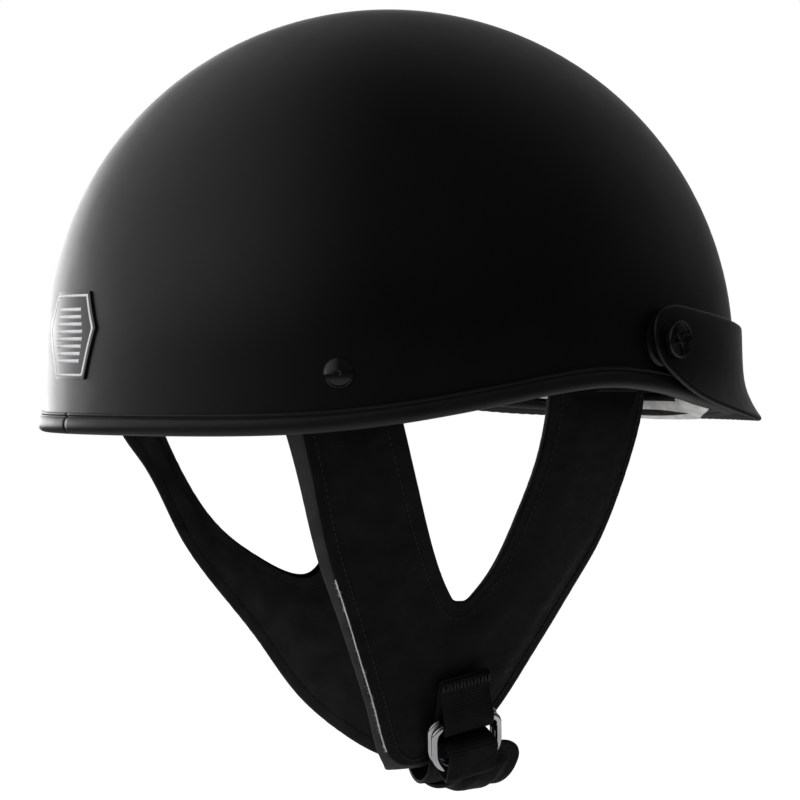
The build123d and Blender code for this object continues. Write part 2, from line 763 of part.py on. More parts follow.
def ring(line):
    x, z = arm(0, line)
    tilt = radians(ring_tilt)
    down = arm_along * cos(tilt) + arm_out * sin(tilt)
    face_out = Vector(0, 1, 0).cross(Vector(down.X, 0, down.Y))
    plane = Plane(origin=(x, buckle_y, z), x_dir=(0, 1, 0), z_dir=face_out)
    half = ring_width / 2
    corners = [(-half, 0), (half, 0), (half, ring_length), (-half, ring_length)]
    outline = make_face(Polyline(*corners, close=True))
    outline = fillet(outline.vertices().group_by(Axis.Y)[0], ring_top_corner)
    outline = fillet(outline.vertices().group_by(Axis.Y)[-1], ring_low_corner)
    path = (plane * outline).face().outer_wire()
    section = Plane(origin=path @ 0, z_dir=path % 0) * Circle(ring_wire / 2)
    return one(turned(sweep(section, path=path)))


def both_sides(solid):
    return Compound(children=[solid, mirrored(solid)])


def place_name(middle):
    if abs(middle.X) < half_width / 2:
        return "front" if middle.Y < 0 else "rear"
    return "right" if middle.X < 0 else "left"


def write_parts():
    os.makedirs("parts", exist_ok=True)
    parts = {
        "outer_shell": outer_shell(),
        "edge_trim": edge_trim(),
        "impact_liner": impact_liner(),
        "brow_pad": comfort_pad(0, brow_pad_span, brow_pad_height),
        "nape_pad": comfort_pad(180, nape_pad_span, nape_pad_height),
        "crown_pad": crown_pad(),
        "pad_hook_discs": Compound(children=disc_places(0)),
        "rear_badge": rear_badge(),
        "strap_rivets": both_sides(strap_rivet()),
        "rear_anchor_plates": both_sides(anchor_plate(rear_anchor_y, rear_anchor_z, rivet_shank_radius)),
        "front_anchor_plates": both_sides(anchor_plate(front_anchor_y, front_anchor_z, post_radius)),
        "visor_posts": both_sides(visor_post()),
        "visor_bosses": both_sides(visor_boss()),
        "visor": visor(),
        "ring_loop_webbing": ring_loop(),
        "loop_bar_tack": bar_tack(),
        "chin_webbing": threaded_web(),
        "chin_tongue": chin_tongue(),
        "inner_d_ring": ring(inner_bar),
        "outer_d_ring": ring(outer_bar),
    }
    for skirt in liner_skirts():
        parts[place_name(skirt.center()) + "_liner_skirt"] = skirt
    rear = (rear_anchor_y, rear_anchor_z, rear_leg_top, rear_lap_shift, rivet_shank_radius)
    front = (front_anchor_y, front_anchor_z, front_leg_top, front_lap_shift, post_radius)
    right = {
        "side_pad": comfort_pad(-side_pad_middle, side_pad_span, side_pad_height),
        "rear_strap_hanger": strap_hanger(*rear),
        "front_strap_hanger": strap_hanger(*front),
        "visor_screw": visor_screw(),
    }
    for name, solid in right.items():
        parts["right_" + name] = solid
        parts["left_" + name] = mirrored(solid)
    panels = [("right_", -1, (right_outline_shares, right_gap_shares)),
              ("left_", 1, (left_outline_shares, left_gap_shares))]
    for name, side, view in panels:
        parts[name + "strap_cover"] = strap_cover(view, side)
        parts[name + "strap_lining"] = strap_lining(view, side)
        parts[name + "strap_webbing"] = strap_webbing(view, side)
    for name, solid in parts.items():
        export_step(solid, "parts/" + name + ".step")


write_parts()
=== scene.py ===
import math
import bmesh
import bpy
import numpy as np
from mathutils import Matrix, Vector, geometry, noise
from mathutils.bvhtree import BVHTree


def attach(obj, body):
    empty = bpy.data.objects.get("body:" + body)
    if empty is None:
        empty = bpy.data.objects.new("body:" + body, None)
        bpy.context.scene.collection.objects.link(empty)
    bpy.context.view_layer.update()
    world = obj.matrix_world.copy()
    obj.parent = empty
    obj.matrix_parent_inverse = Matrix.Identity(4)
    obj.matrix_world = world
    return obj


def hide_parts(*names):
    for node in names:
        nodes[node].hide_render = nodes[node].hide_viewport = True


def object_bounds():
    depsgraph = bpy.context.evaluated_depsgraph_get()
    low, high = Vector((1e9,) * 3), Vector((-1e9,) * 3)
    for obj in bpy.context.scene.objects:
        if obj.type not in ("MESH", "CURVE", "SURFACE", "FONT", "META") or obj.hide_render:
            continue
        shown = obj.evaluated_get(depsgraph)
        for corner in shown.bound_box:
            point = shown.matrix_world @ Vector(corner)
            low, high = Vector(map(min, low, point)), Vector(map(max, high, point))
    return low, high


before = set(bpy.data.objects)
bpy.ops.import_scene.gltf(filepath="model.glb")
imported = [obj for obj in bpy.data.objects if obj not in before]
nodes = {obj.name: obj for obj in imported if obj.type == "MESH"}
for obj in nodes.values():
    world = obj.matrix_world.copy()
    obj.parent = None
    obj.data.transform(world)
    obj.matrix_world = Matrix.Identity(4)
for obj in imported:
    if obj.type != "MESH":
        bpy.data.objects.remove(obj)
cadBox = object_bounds()
scene = bpy.context.scene
print("frame loaded,", len(nodes), "nodes")

# Sizes are in millimetres: X to the wearer's left, Y to the rear, Z up. Meshes are made in metres.
mm = 0.001


# Mesh tools

def meshObject(name, points, faces, edges=()):
    mesh = bpy.data.meshes.new(name)
    mesh.from_pydata([[float(v) * mm for v in point] for point in points], list(edges), faces)
    mesh.polygons.foreach_set("use_smooth", [True] * len(mesh.polygons))
    mesh.update()
    made = bpy.data.objects.new(name, mesh)
    scene.collection.objects.link(made)
    return made


def mergedTool(nodeName):
    tool = bmesh.new()
    tool.from_mesh(nodes[nodeName].data)
    bmesh.ops.remove_doubles(tool, verts=tool.verts, dist=2e-6)
    bmesh.ops.dissolve_degenerate(tool, edges=tool.edges, dist=1e-6)
    tool.normal_update()
    return tool


def mergedCopy(name, nodeName):
    tool = mergedTool(nodeName)
    mesh = bpy.data.meshes.new(name)
    tool.to_mesh(mesh)
    tool.free()
    made = bpy.data.objects.new(name, mesh)
    scene.collection.objects.link(made)
    return made


def bakeModifiers(made):
    graph = bpy.context.evaluated_depsgraph_get()
    mesh = bpy.data.meshes.new_from_object(made.evaluated_get(graph))
    made.modifiers.clear()
    made.data = mesh
    mesh.name = made.name
    return made


def joined(name, parts):
    # Several pieces on one body become one mesh
    tool = bmesh.new()
    for part in parts:
        tool.from_mesh(part.data)
        bpy.data.objects.remove(part)
    mesh = bpy.data.meshes.new(name)
    tool.to_mesh(mesh)
    tool.free()
    made = bpy.data.objects.new(name, mesh)
    scene.collection.objects.link(made)
    return made


def dress(made, look, body="helmet", replaces=()):
    made.data.materials.clear()
    made.data.materials.append(look)
    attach(made, body)
    if replaces:
        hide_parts(*replaces)
    return made


# Material tools

def addNode(tree, kind, inputs=None, **settings):
    made = tree.nodes.new(kind)
    for key, value in settings.items():
        setattr(made, key, value)
    for key, value in (inputs or {}).items():
        if isinstance(value, bpy.types.NodeSocket):
            tree.links.new(value, made.inputs[key])
        else:
            made.inputs[key].default_value = value
    return made


def grey(value, tint=(1, 1, 1.04)):
    return (value * tint[0], value * tint[1], value * tint[2], 1)


def newLook(name, tones, roughness, patch=60, **shaderInputs):
    # A surface whose tone and gloss drift a little, as a moulded, dyed or rubbed one does
    look = bpy.data.materials.new(name)
    look.use_nodes = True
    tree = look.node_tree
    shader = tree.nodes["Principled BSDF"]
    place = addNode(tree, "ShaderNodeTexCoord").outputs["Object"]
    cloud = addNode(tree, "ShaderNodeTexNoise", {"Vector": place, "Scale": patch, "Detail": 5.0})
    ramp = addNode(tree, "ShaderNodeValToRGB", {"Fac": cloud.outputs["Fac"]})
    ramp.color_ramp.elements[0].position = 0.3
    ramp.color_ramp.elements[1].position = 0.7
    ramp.color_ramp.elements[0].color = tones[0]
    ramp.color_ramp.elements[1].color = tones[1]
    tree.links.new(ramp.outputs["Color"], shader.inputs["Base Color"])
    rub = addNode(tree, "ShaderNodeTexNoise", {"Vector": place, "Scale": patch * 3.1, "Detail": 3.0})
    gloss = addNode(tree, "ShaderNodeMapRange", {"Value": rub.outputs["Fac"], "From Min": 0.3,
                                                 "From Max": 0.7,
                                                 "To Min": roughness[0], "To Max": roughness[1]})
    tree.links.new(gloss.outputs["Result"], shader.inputs["Roughness"])
    for key, value in shaderInputs.items():
        shader.inputs[key].default_value = value
    return look, tree, shader, place


def addBump(tree, shader, height, strength, distance, under=None):
    bump = addNode(tree, "ShaderNodeBump",
                   {"Height": height, "Strength": strength, "Distance": distance * mm})
    if under is not None:
        tree.links.new(under, bump.inputs["Normal"])
    tree.links.new(bump.outputs["Normal"], shader.inputs["Normal"])
    return bump.outputs["Normal"]


def grain(tree, place, size):
    return addNode(tree, "ShaderNodeTexNoise", {"Vector": place, "Scale": 1 / (size * mm),
                                                "Detail": 3.0}).outputs["Fac"]


def weave(tree, place, pitch, directions=("X", "Z")):
    # Two sets of threads that cross
    waves = []
    for direction in directions:
        wave = addNode(tree, "ShaderNodeTexWave",
                       {"Vector": place, "Scale": 2 * math.pi / (20 * pitch * mm),
                                                   "Distortion": 0.6, "Detail": 1.0},
                       bands_direction=direction)
        waves.append(wave.outputs["Fac"])
    return addNode(tree, "ShaderNodeMath", {0: waves[0], 1: waves[1]},
                   operation="MULTIPLY").outputs["Value"]


# Looks

def shellLook():
    look, tree, shader, place = newLook("satinShell", (grey(0.0011), grey(0.0017)), (0.35, 0.40), patch=18)
    addBump(tree, shader, grain(tree, place, 0.35), 0.05, 0.02)
    return look


def plasticLook(name, tone, roughness, size=0.4, strength=0.06, **shaderInputs):
    look, tree, shader, place = newLook(name, (grey(tone * 0.8), grey(tone * 1.2)), roughness,
                                        **shaderInputs)
    addBump(tree, shader, grain(tree, place, size), strength, 0.03)
    return look


def clothLook(name, tone, roughness, pitch, depth=0.05, tint=(1, 1, 1.03), directions=("X", "Z"),
              **shaderInputs):
    look, tree, shader, place = newLook(name, (grey(tone * 0.72, tint), grey(tone * 1.28, tint)), roughness,
                                        patch=110, **shaderInputs)
    threads = addBump(tree, shader, weave(tree, place, pitch, directions), 0.5, depth)
    addBump(tree, shader, grain(tree, place, pitch * 0.7), 0.35, depth, threads)
    return look


looks = {
    "shell": shellLook(),
    "trim": plasticLook("softRubber", 0.004, (0.36, 0.44), **{"Specular IOR Level": 0.45}),
    "visor": plasticLook("satinVisor", 0.0018, (0.33, 0.39)),
    "gloss": plasticLook("glossBlack", 0.003, (0.08, 0.14), strength=0.02),
    "boss": plasticLook("bossPlastic", 0.003, (0.12, 0.2)),
    "foam": plasticLook("beadFoam", 0.006, (0.75, 0.9), size=3.0, strength=0.5),
    "zinc": plasticLook("zincPlate", 0.35, (0.28, 0.4), Metallic=1.0),
    "chrome": plasticLook("nickelWire", 0.75, (0.08, 0.14), strength=0.02, Metallic=1.0),
    "hook": plasticLook("hookTape", 0.02, (0.7, 0.9), size=0.6, strength=0.8),
    "strap": clothLook("satinCloth", 0.0042, (0.50, 0.62), 0.45, depth=0.03,
                       **{"Specular IOR Level": 0.07}),
    "lining": clothLook("liningCloth", 0.03, (0.45, 0.6), 0.6, depth=0.03, **{"Specular IOR Level": 0.2}),
    "webbing": clothLook("webbingYarn", 0.0045, (0.5, 0.65), 0.5, directions=("Y", "DIAGONAL"),
                         **{"Specular IOR Level": 0.12}),
    "thread": clothLook("sewingThread", 0.008, (0.45, 0.6), 0.3, **{"Specular IOR Level": 0.3}),
    "fleece": clothLook("rawFleece", 0.62, (0.8, 0.95), 0.5, tint=(1, 0.99, 0.97)),
    "skirt": clothLook("skirtCloth", 0.78, (0.7, 0.85), 0.8, tint=(1, 0.995, 0.98)),
    "pad": clothLook("padMesh", 0.012, (0.6, 0.8), 1.2, depth=0.2),
    "print": plasticLook("printedWhite", 0.75, (0.4, 0.5)),
}


skirtMarks = {"taper": 1.55, "half": 0.0013, "middle": 0.0055, "patchLow": 0.0102, "patchHalf": 0.026,
              "patchBack": 0.1195, "frontOnly": 0.1}


def markSkirt():
    # The front lining's dark stripe narrows to a point at each end, and a dark patch meets the brow pad
    marks = skirtMarks
    tree = looks["skirt"].node_tree
    shader = tree.nodes["Principled BSDF"]
    spot = addNode(tree, "ShaderNodeSeparateXYZ",
                   {"Vector": addNode(tree, "ShaderNodeTexCoord").outputs["Object"]})
    x, y, z = spot.outputs["X"], spot.outputs["Y"], spot.outputs["Z"]

    def sumOf(kind, *values):
        return addNode(tree, "ShaderNodeMath", dict(enumerate(values)), operation=kind).outputs["Value"]

    reach = sumOf("MULTIPLY_ADD", sumOf("MULTIPLY", x, x), -marks["taper"], marks["half"])
    stripe = sumOf("LESS_THAN", sumOf("ABSOLUTE", sumOf("SUBTRACT", z, marks["middle"])), reach)
    patch = sumOf("MULTIPLY", sumOf("GREATER_THAN", z, marks["patchLow"]),
                  sumOf("LESS_THAN", sumOf("ABSOLUTE", x), marks["patchHalf"]))
    patch = sumOf("MULTIPLY", patch, sumOf("GREATER_THAN", y, -marks["patchBack"]))
    dark = sumOf("MULTIPLY", sumOf("MAXIMUM", stripe, patch), sumOf("LESS_THAN", y, -marks["frontOnly"]))
    mixed = addNode(tree, "ShaderNodeMix", {0: dark, 7: grey(0.004)}, data_type="RGBA")
    tree.links.new(shader.inputs["Base Color"].links[0].from_socket, mixed.inputs[6])
    tree.links.new(mixed.outputs[2], shader.inputs["Base Color"])


markSkirt()
print("materials made,", len(looks))


# Panels: sheet pieces cut from a CAD solid's own face, with their edges rounded in mesh code

def polylineLoops(edges):
    ahead = {}
    for a, b in edges:
        ahead.setdefault(a, []).append(b)
        ahead.setdefault(b, []).append(a)
    loops = []
    while ahead:
        start = next(iter(ahead))
        loop = [start]
        here = start
        while True:
            options = ahead.get(here, [])
            if not options:
                break
            there = options.pop()
            if not options:
                ahead.pop(here, None)
            back = ahead.get(there, [])
            if here in back:
                back.remove(here)
                if not back:
                    ahead.pop(there, None)
            if there == start:
                break
            loop.append(there)
            here = there
        loops.append(loop)
    return loops


def facePatch(nodeName, start, direction, sharp=32):
    # The smooth face that a ray meets first, as its triangles and its boundary loops
    tool = mergedTool(nodeName)
    tool.faces.ensure_lookup_table()
    tree = BVHTree.FromBMesh(tool)
    seed = tree.ray_cast(Vector(start) * mm, Vector(direction))[2]
    kept = {tool.faces[seed]}
    waiting = [tool.faces[seed]]
    limit = math.radians(sharp)
    while waiting:
        for edge in waiting.pop().edges:
            if len(edge.link_faces) == 2 and edge.calc_face_angle(9) < limit:
                for other in edge.link_faces:
                    if other not in kept:
                        kept.add(other)
                        waiting.append(other)
    tool.faces.index_update()
    ordered = sorted(kept, key=lambda face: face.index)
    rim = []
    for face in ordered:
        for edge in face.edges:
            if sum(other in kept for other in edge.link_faces) == 1:
                rim.append((edge.verts[0].index, edge.verts[1].index))
    tool.verts.ensure_lookup_table()
    points = np.array([vert.co for vert in tool.verts]) / mm
    faces = [[vert.index for vert in face.verts] for face in ordered]
    loops = sorted(([points[place] for place in loop] for loop in polylineLoops(rim)), key=len,
                   reverse=True)
    tool.free()
    patchTree = BVHTree.FromPolygons([Vector(point) for point in points], faces)
    return patchTree, [np.array(loop) for loop in loops]


def resampled(points, spacing, closed=True):
    points = np.asarray(points, float)
    if closed:
        points = np.vstack([points, points[:1]])
    lengths = np.linalg.norm(np.diff(points, axis=0), axis=1)
    along = np.concatenate([[0], np.cumsum(lengths)])
    count = max(int(round(along[-1] / spacing)), 3)
    wanted = np.linspace(0, along[-1], count + 1)
    if closed:
        wanted = wanted[:-1]
    return np.stack([np.interp(wanted, along, points[:, axis]) for axis in range(points.shape[1])], axis=1)


def edgeDistance(points, loop):
    # Distance of each point in the flat view from a closed loop
    starts, ends = loop, np.roll(loop, -1, axis=0)
    run = ends - starts
    size = np.maximum((run ** 2).sum(1), 1e-12)
    found = np.empty(len(points))
    for low in range(0, len(points), 2000):
        offset = points[low:low + 2000, None] - starts[None]
        share = np.clip((offset * run[None]).sum(2) / size, 0, 1)
        gap = offset - share[..., None] * run[None]
        found[low:low + 2000] = np.sqrt((gap ** 2).sum(2).min(1))
    return found


def insideLoop(points, loop):
    x, y = points[:, 0][:, None], points[:, 1][:, None]
    x0, y0 = loop[:, 0][None], loop[:, 1][None]
    x1, y1 = np.roll(loop[:, 0], -1)[None], np.roll(loop[:, 1], -1)[None]
    crosses = (y0 > y) != (y1 > y)
    with np.errstate(divide="ignore", invalid="ignore"):
        meet = (x1 - x0) * (y - y0) / (y1 - y0) + x0
    return ((crosses & (x < meet)).sum(1) % 2) == 1


def movedIn(loop, amount):
    # The loop drawn again inside itself, without the places where it would cross itself
    run = np.roll(loop, -1, axis=0) - np.roll(loop, 1, axis=0)
    run /= np.linalg.norm(run, axis=1)[:, None]
    moved = loop + np.stack([-run[:, 1], run[:, 0]], axis=1) * amount
    good = (edgeDistance(moved, loop) > amount * 0.93) & insideLoop(moved, loop)
    return moved[good]


def signedArea(loop):
    return 0.5 * np.sum(loop[:, 0] * np.roll(loop[:, 1], -1) - np.roll(loop[:, 0], -1) * loop[:, 1])


def vertexNormals(points, faces):
    corners = points[faces]
    flat = np.cross(corners[:, 1] - corners[:, 0], corners[:, 2] - corners[:, 0])
    total = np.zeros_like(points)
    for corner in range(3):
        np.add.at(total, faces[:, corner], flat)
    return total / np.maximum(np.linalg.norm(total, axis=1), 1e-12)[:, None]


def smoothed(points, faces, fixed, rounds):
    pairs = np.vstack([faces[:, [0, 1]], faces[:, [1, 2]], faces[:, [2, 0]]])
    for _ in range(rounds):
        total = np.zeros_like(points)
        count = np.zeros(len(points))
        np.add.at(total, pairs[:, 0], points[pairs[:, 1]])
        np.add.at(count, pairs[:, 0], 1)
        free = (~fixed) & (count > 0)
        points[free] = 0.5 * points[free] + 0.5 * total[free] / count[free][:, None]
    return points


def sidewaysChart(side, inward=False):
    # The straps seen from the side: flat places are (Y, Z), and rays run along X
    start = 0.0 if inward else side * 200.0
    heading = side if inward else -side
    return {"flat": lambda p: p[:, 1:3],
            "ray": lambda a, b: (Vector((start, a, b)), Vector((heading, 0, 0)))}


def roundChart():
    # The visor seen from the helmet's axis: flat places are (length round the shell, Z)
    def flat(p):
        return np.stack([np.arctan2(p[:, 0] / 114, -p[:, 1] / 135.5) * 125, p[:, 2]], axis=1)

    def ray(a, b):
        turn = a / 125
        out = Vector((114 * math.sin(turn), -135.5 * math.cos(turn), 0))
        start = out * 1.8
        return Vector((start.x, start.y, b)), -out.normalized()
    return {"flat": flat, "ray": ray}


def castPoints(patchTree, chart, flatPoints, rimFlat, rimPoints):
    found = np.empty((len(flatPoints), 3))
    for place, (a, b) in enumerate(flatPoints):
        start, heading = chart["ray"](a, b)
        hit = patchTree.ray_cast(start, heading)[0]
        if hit is None:
            nearest = ((rimFlat - (a, b)) ** 2).sum(1).argmin()
            hit = rimPoints[nearest]
        found[place] = hit
    return found


def buildPanel(name, nodeName, seed, chart, insets, topOf, underOf, step=1.5, grid=3.0, softening=1):
    patchTree, loops = facePatch(nodeName, *seed)
    edgeLoop = resampled(chart["flat"](resampled(loops[0], 0.25)), step)
    for _ in range(softening):
        edgeLoop = 0.5 * edgeLoop + 0.25 * (np.roll(edgeLoop, 1, axis=0) + np.roll(edgeLoop, -1, axis=0))
    rimPoints = np.vstack([resampled(loop, 0.25) for loop in loops if len(loop) > 12])
    rimFlat = chart["flat"](rimPoints)
    if signedArea(edgeLoop) < 0:
        edgeLoop = edgeLoop[::-1]
    holes = [chart["flat"](resampled(loop, step * 0.6)) for loop in loops[1:] if len(loop) > 12]
    rows = [edgeLoop] + holes + [movedIn(edgeLoop, inset) for inset in insets]
    low, high = edgeLoop.min(0), edgeLoop.max(0)
    lattice = []
    for row, b in enumerate(np.arange(low[1], high[1], grid * 0.87)):
        for a in np.arange(low[0] + (row % 2) * grid / 2, high[0], grid):
            lattice.append((a, b))
    lattice = np.array(lattice)
    keep = insideLoop(lattice, edgeLoop)
    lattice = lattice[keep]
    lattice = lattice[edgeDistance(lattice, edgeLoop) > insets[-1] + grid * 0.6]
    for hole in holes:
        centre = hole.mean(0)
        reach = np.linalg.norm(hole - centre, axis=1).max()
        lattice = lattice[np.linalg.norm(lattice - centre, axis=1) > reach + grid * 0.5]
    flatPoints = np.vstack(rows + [lattice])
    count = len(edgeLoop)
    wires = [(place, (place + 1) % count) for place in range(count)]
    for hole in holes:
        wires += [(count + place, count + (place + 1) % len(hole)) for place in range(len(hole))]
        count += len(hole)
    cut = geometry.delaunay_2d_cdt([Vector(point) for point in flatPoints], wires, [], 1, 1e-4)
    flatPoints = np.array([tuple(point) for point in cut[0]])
    faces = np.array([face for face in cut[2] if len(face) == 3])
    for hole in holes:
        centre = hole.mean(0)
        reach = np.linalg.norm(hole - centre, axis=1).max()
        middles = flatPoints[faces].mean(1)
        faces = faces[np.linalg.norm(middles - centre, axis=1) > reach * 0.99]
    used = np.unique(faces)
    renumber = np.full(len(flatPoints), -1)
    renumber[used] = np.arange(len(used))
    flatPoints, faces = flatPoints[used], renumber[faces]
    distance = edgeDistance(flatPoints, edgeLoop)
    for hole in holes:
        distance = np.minimum(distance, np.maximum(edgeDistance(flatPoints, hole), 0))
    points = castPoints(patchTree, chart, flatPoints, rimFlat, rimPoints)
    normals = vertexNormals(points, faces)
    middle = len(flatPoints) // 2
    headings = np.array([chart["ray"](*flatPoints[place])[1] for place in (0, middle)])
    if (normals[[0, middle]] * headings).sum() > 0:
        faces = faces[:, ::-1]
        normals = -normals
    onEdge = distance < 0.02
    points = smoothed(points, faces, onEdge, 3)
    normals = smoothed(vertexNormals(points, faces), faces, np.zeros(len(points), bool), 2)
    normals /= np.linalg.norm(normals, axis=1)[:, None]
    top = points + normals * topOf(distance, flatPoints)[:, None]
    under = points + normals * underOf(distance, flatPoints)[:, None]
    middleLine = (top + under) / 2
    top[onEdge] = middleLine[onEdge]
    below = np.where(onEdge, np.arange(len(points)), -1)
    rest = np.flatnonzero(~onEdge)
    below[rest] = len(points) + np.arange(len(rest))
    allPoints = np.vstack([top, under[rest]])
    allFaces = [list(map(int, face)) for face in faces]
    allFaces += [list(map(int, below[face][::-1])) for face in faces]
    made = meshObject(name, allPoints, allFaces)
    tree = BVHTree.FromPolygons([Vector(point) for point in top], [list(map(int, face)) for face in faces])
    print("panel", name, len(allFaces), "faces")
    return {"object": made, "tree": tree, "loop": edgeLoop, "chart": chart,
            "rim": (flatPoints[onEdge], top[onEdge])}


def onPanel(panel, a, b, lift=0.0):
    # Place and outward way on a finished panel's face
    start, heading = panel["chart"]["ray"](a, b)
    hit, out, _, _ = panel["tree"].ray_cast(start, heading)
    if hit is None:
        return None
    if out.dot(heading) > 0:
        out = -out
    return hit + out * lift


def roundOver(distance, radius):
    # How far a full round edge lies below the face, at a distance in from the edge
    inner = np.clip(1 - distance / radius, 0, 1)
    return radius * (1 - np.sqrt(1 - inner ** 2))


def bump(value, middle, width):
    return np.exp(-((value - middle) / width) ** 2)


def ease(value, low, high):
    share = np.clip((value - low) / (high - low), 0, 1)
    return share * share * (3 - 2 * share)


# Strap covers and linings

strapSize = {"wall": 3.55, "hem": 1.6, "hemTop": -1.95, "seamInset": 4.3, "seamDepth": 0.35, "pucker": 0.2,
             "padEnd": 15, "puff": 0.5, "webRoom": 2.25, "liningWall": 1.9, "liningHem": 0.95}
edgeInsets = [0.15, 0.35, 0.6, 0.9, 1.5, 2.3, 3.0, 3.6, 4.0, 4.3, 4.6, 5.2, 6.2, 8.0, 10.5]


def puckers(distance, flatPoints, side):
    # Short gathers that the seam draws in along the hem
    size = strapSize
    depth = np.array([noise.noise(Vector((y / 1.9, z / 2.6, 5.3 * side))) for y, z in flatPoints])
    return size["pucker"] * depth * bump(distance, size["seamInset"], 2.2)


def creases(flatPoints, side):
    # Soft folds where the two legs meet, and a slower wave everywhere
    folds = np.empty(len(flatPoints))
    for place, (y, z) in enumerate(flatPoints):
        across = (y * 0.55 + z * 0.83) / 9.0
        along = (y * -0.83 + z * 0.55) / 46.0
        fold = noise.noise(Vector((across, along, 3.7 * side)))
        slow = noise.noise(Vector((y / 30, z / 38, 9.1 * side)))
        near = math.exp(-((z + 84) / 34) ** 2)
        folds[place] = fold * 0.55 * near + slow * 0.4
    return folds


def coverTop(side):
    def height(distance, flatPoints):
        size = strapSize
        y, z = flatPoints[:, 0], flatPoints[:, 1]
        clear = ease(np.hypot((y + 8.5) / 15, (z + 105) / 20), 0.9, 1.6) if side < 0 else 1.0
        swell = ease(distance, size["seamInset"], size["padEnd"])
        top = size["hemTop"] * (1 - swell) - roundOver(distance, size["hem"] / 2)
        top = top + size["seamDepth"] * ease(distance, 3.0, 3.7) * (1 - swell)
        top = top - size["seamDepth"] * bump(distance, size["seamInset"], 0.45)
        fullness = (size["puff"] + creases(flatPoints, side)) * swell * clear
        return top + puckers(distance, flatPoints, side) + fullness
    return height


def coverUnder(distance, flatPoints):
    size = strapSize
    low = -size["wall"] + roundOver(distance, size["hem"] / 2)
    return low + (size["wall"] - size["webRoom"]) * ease(distance, 2.9, 3.6) + 0.35 * ease(distance, 4, 8)


def liningTop(side):
    def height(distance, flatPoints):
        size = strapSize
        swell = ease(distance, size["seamInset"], size["padEnd"])
        top = -size["liningHem"] * (1 - swell) - roundOver(distance, size["liningHem"] / 2)
        top = top - 0.25 * bump(distance, size["seamInset"], 0.45)
        return top + (0.25 + creases(flatPoints, side + 4) * 0.7) * swell
    return height


def liningUnder(distance, flatPoints):
    return -strapSize["liningWall"] + roundOver(distance, strapSize["liningHem"] / 2)


covers = {}
for side, name in ((-1, "right"), (1, "left")):
    chart = sidewaysChart(side)
    seed = ((side * 200, -20, -80), (-side, 0, 0))
    cover = buildPanel(name + "StrapCover", name + "_strap_cover", seed, chart, edgeInsets,
                       coverTop(side), coverUnder)
    dress(cover["object"], looks["strap"], replaces=[name + "_strap_cover"])
    covers[side] = cover
    chart = sidewaysChart(side, inward=True)
    seed = ((0, -20, -80), (side, 0, 0))
    lining = buildPanel(name + "StrapLining", name + "_strap_lining", seed, chart, edgeInsets,
                        liningTop(side),
                        liningUnder)
    dress(lining["object"], looks["lining"], replaces=[name + "_strap_lining"])
    covers[name + "Lining"] = lining


# Visor: the CAD face with its edges rounded

visorSize = {"wall": 2.0}


def visorTop(distance, flatPoints):
    return -roundOver(distance, visorSize["wall"] / 2)


def visorUnder(distance, flatPoints):
    return -visorSize["wall"] + roundOver(distance, visorSize["wall"] / 2)


visor = buildPanel("visorPeak", "visor", ((0, -300, 20), (0, 1, 0)), roundChart(),
                   [0.2, 0.5, 0.8, 1.2, 1.8, 3.0],
                   visorTop, visorUnder, step=1.0, grid=3.0, softening=3)
dress(visor["object"], looks["visor"], body="visor", replaces=["visor"])


# Edge trim: an extruded profile swept along the shell's edge

trimSize = {"stations": 420, "seamGap": 0.5}
trimProfile = [(0.02, 7.25), (0.35, 7.55), (0.8, 7.6), (1.15, 7.35), (1.25, 6.95), (1.1, 6.6), (0.8, 6.35),
               (0.75, 6.1), (1.0, 5.95), (1.45, 5.7), (1.85, 5.15), (2.1, 4.4), (2.2, 3.5), (2.15, 2.6),
               (1.95, 1.7),
               (1.5, 0.9), (0.8, 0.35), (0.0, 0.1), (-1.2, 0.0), (-2.6, 0.0), (-3.8, 0.15),
               (-4.6, 0.55), (-5.1, 1.2),
               (-5.3, 2.0), (-5.3, 3.0), (-5.15, 3.6), (-4.8, 3.95), (-4.3, 4.0), (-3.8, 3.8), (-3.52, 3.4),
               (-3.5, 2.05), (-1.7, 2.02), (0.0, 2.05), (0.01, 4.6)]


def edgeTrim():
    tree = BVHTree.FromObject(nodes["edge_trim"], bpy.context.evaluated_depsgraph_get())
    count = trimSize["stations"]
    half = trimSize["seamGap"] / 2 / 114
    turns = np.linspace(math.pi + half + 0.0004, 3 * math.pi - half - 0.0004, count)
    heights = []
    for turn in turns:
        x, y = 114 * math.sin(turn), -135.5 * math.cos(turn)
        out = Vector((x / 114 ** 2, y / 135.5 ** 2, 0)).normalized()
        start = Vector((x, y, -30)) - out * 1.75
        hit = tree.ray_cast(start * mm, Vector((0, 0, 1)))[0]
        heights.append(hit.z / mm if hit else heights[-1])
    heights = np.array(heights)
    kernel = np.ones(7) / 7
    heights = np.convolve(np.pad(heights, 3, mode="edge"), kernel, mode="valid")
    points = []
    for place, (turn, low) in enumerate(zip(turns, heights)):
        x, y = 114 * math.sin(turn), -135.5 * math.cos(turn)
        out = Vector((x / 114 ** 2, y / 135.5 ** 2, 0)).normalized()
        for outward, upward in trimProfile:
            points.append((x + out.x * outward, y + out.y * outward, low + upward))
    width = len(trimProfile)
    faces = []
    for station in range(count - 1):
        for corner in range(width):
            a = station * width + corner
            b = station * width + (corner + 1) % width
            faces.append((a, b, b + width, a + width))
    faces.append(tuple(range(width))[::-1])
    faces.append(tuple((count - 1) * width + corner for corner in range(width)))
    made = meshObject("edgeTrim", points, faces)
    tool = bmesh.new()
    tool.from_mesh(made.data)
    bmesh.ops.recalc_face_normals(tool, faces=tool.faces)
    tool.to_mesh(made.data)
    tool.free()
    return made


dress(edgeTrim(), looks["trim"], replaces=["edge_trim"])
print("trim made")


# Fasteners: turned pieces on the shell's sides

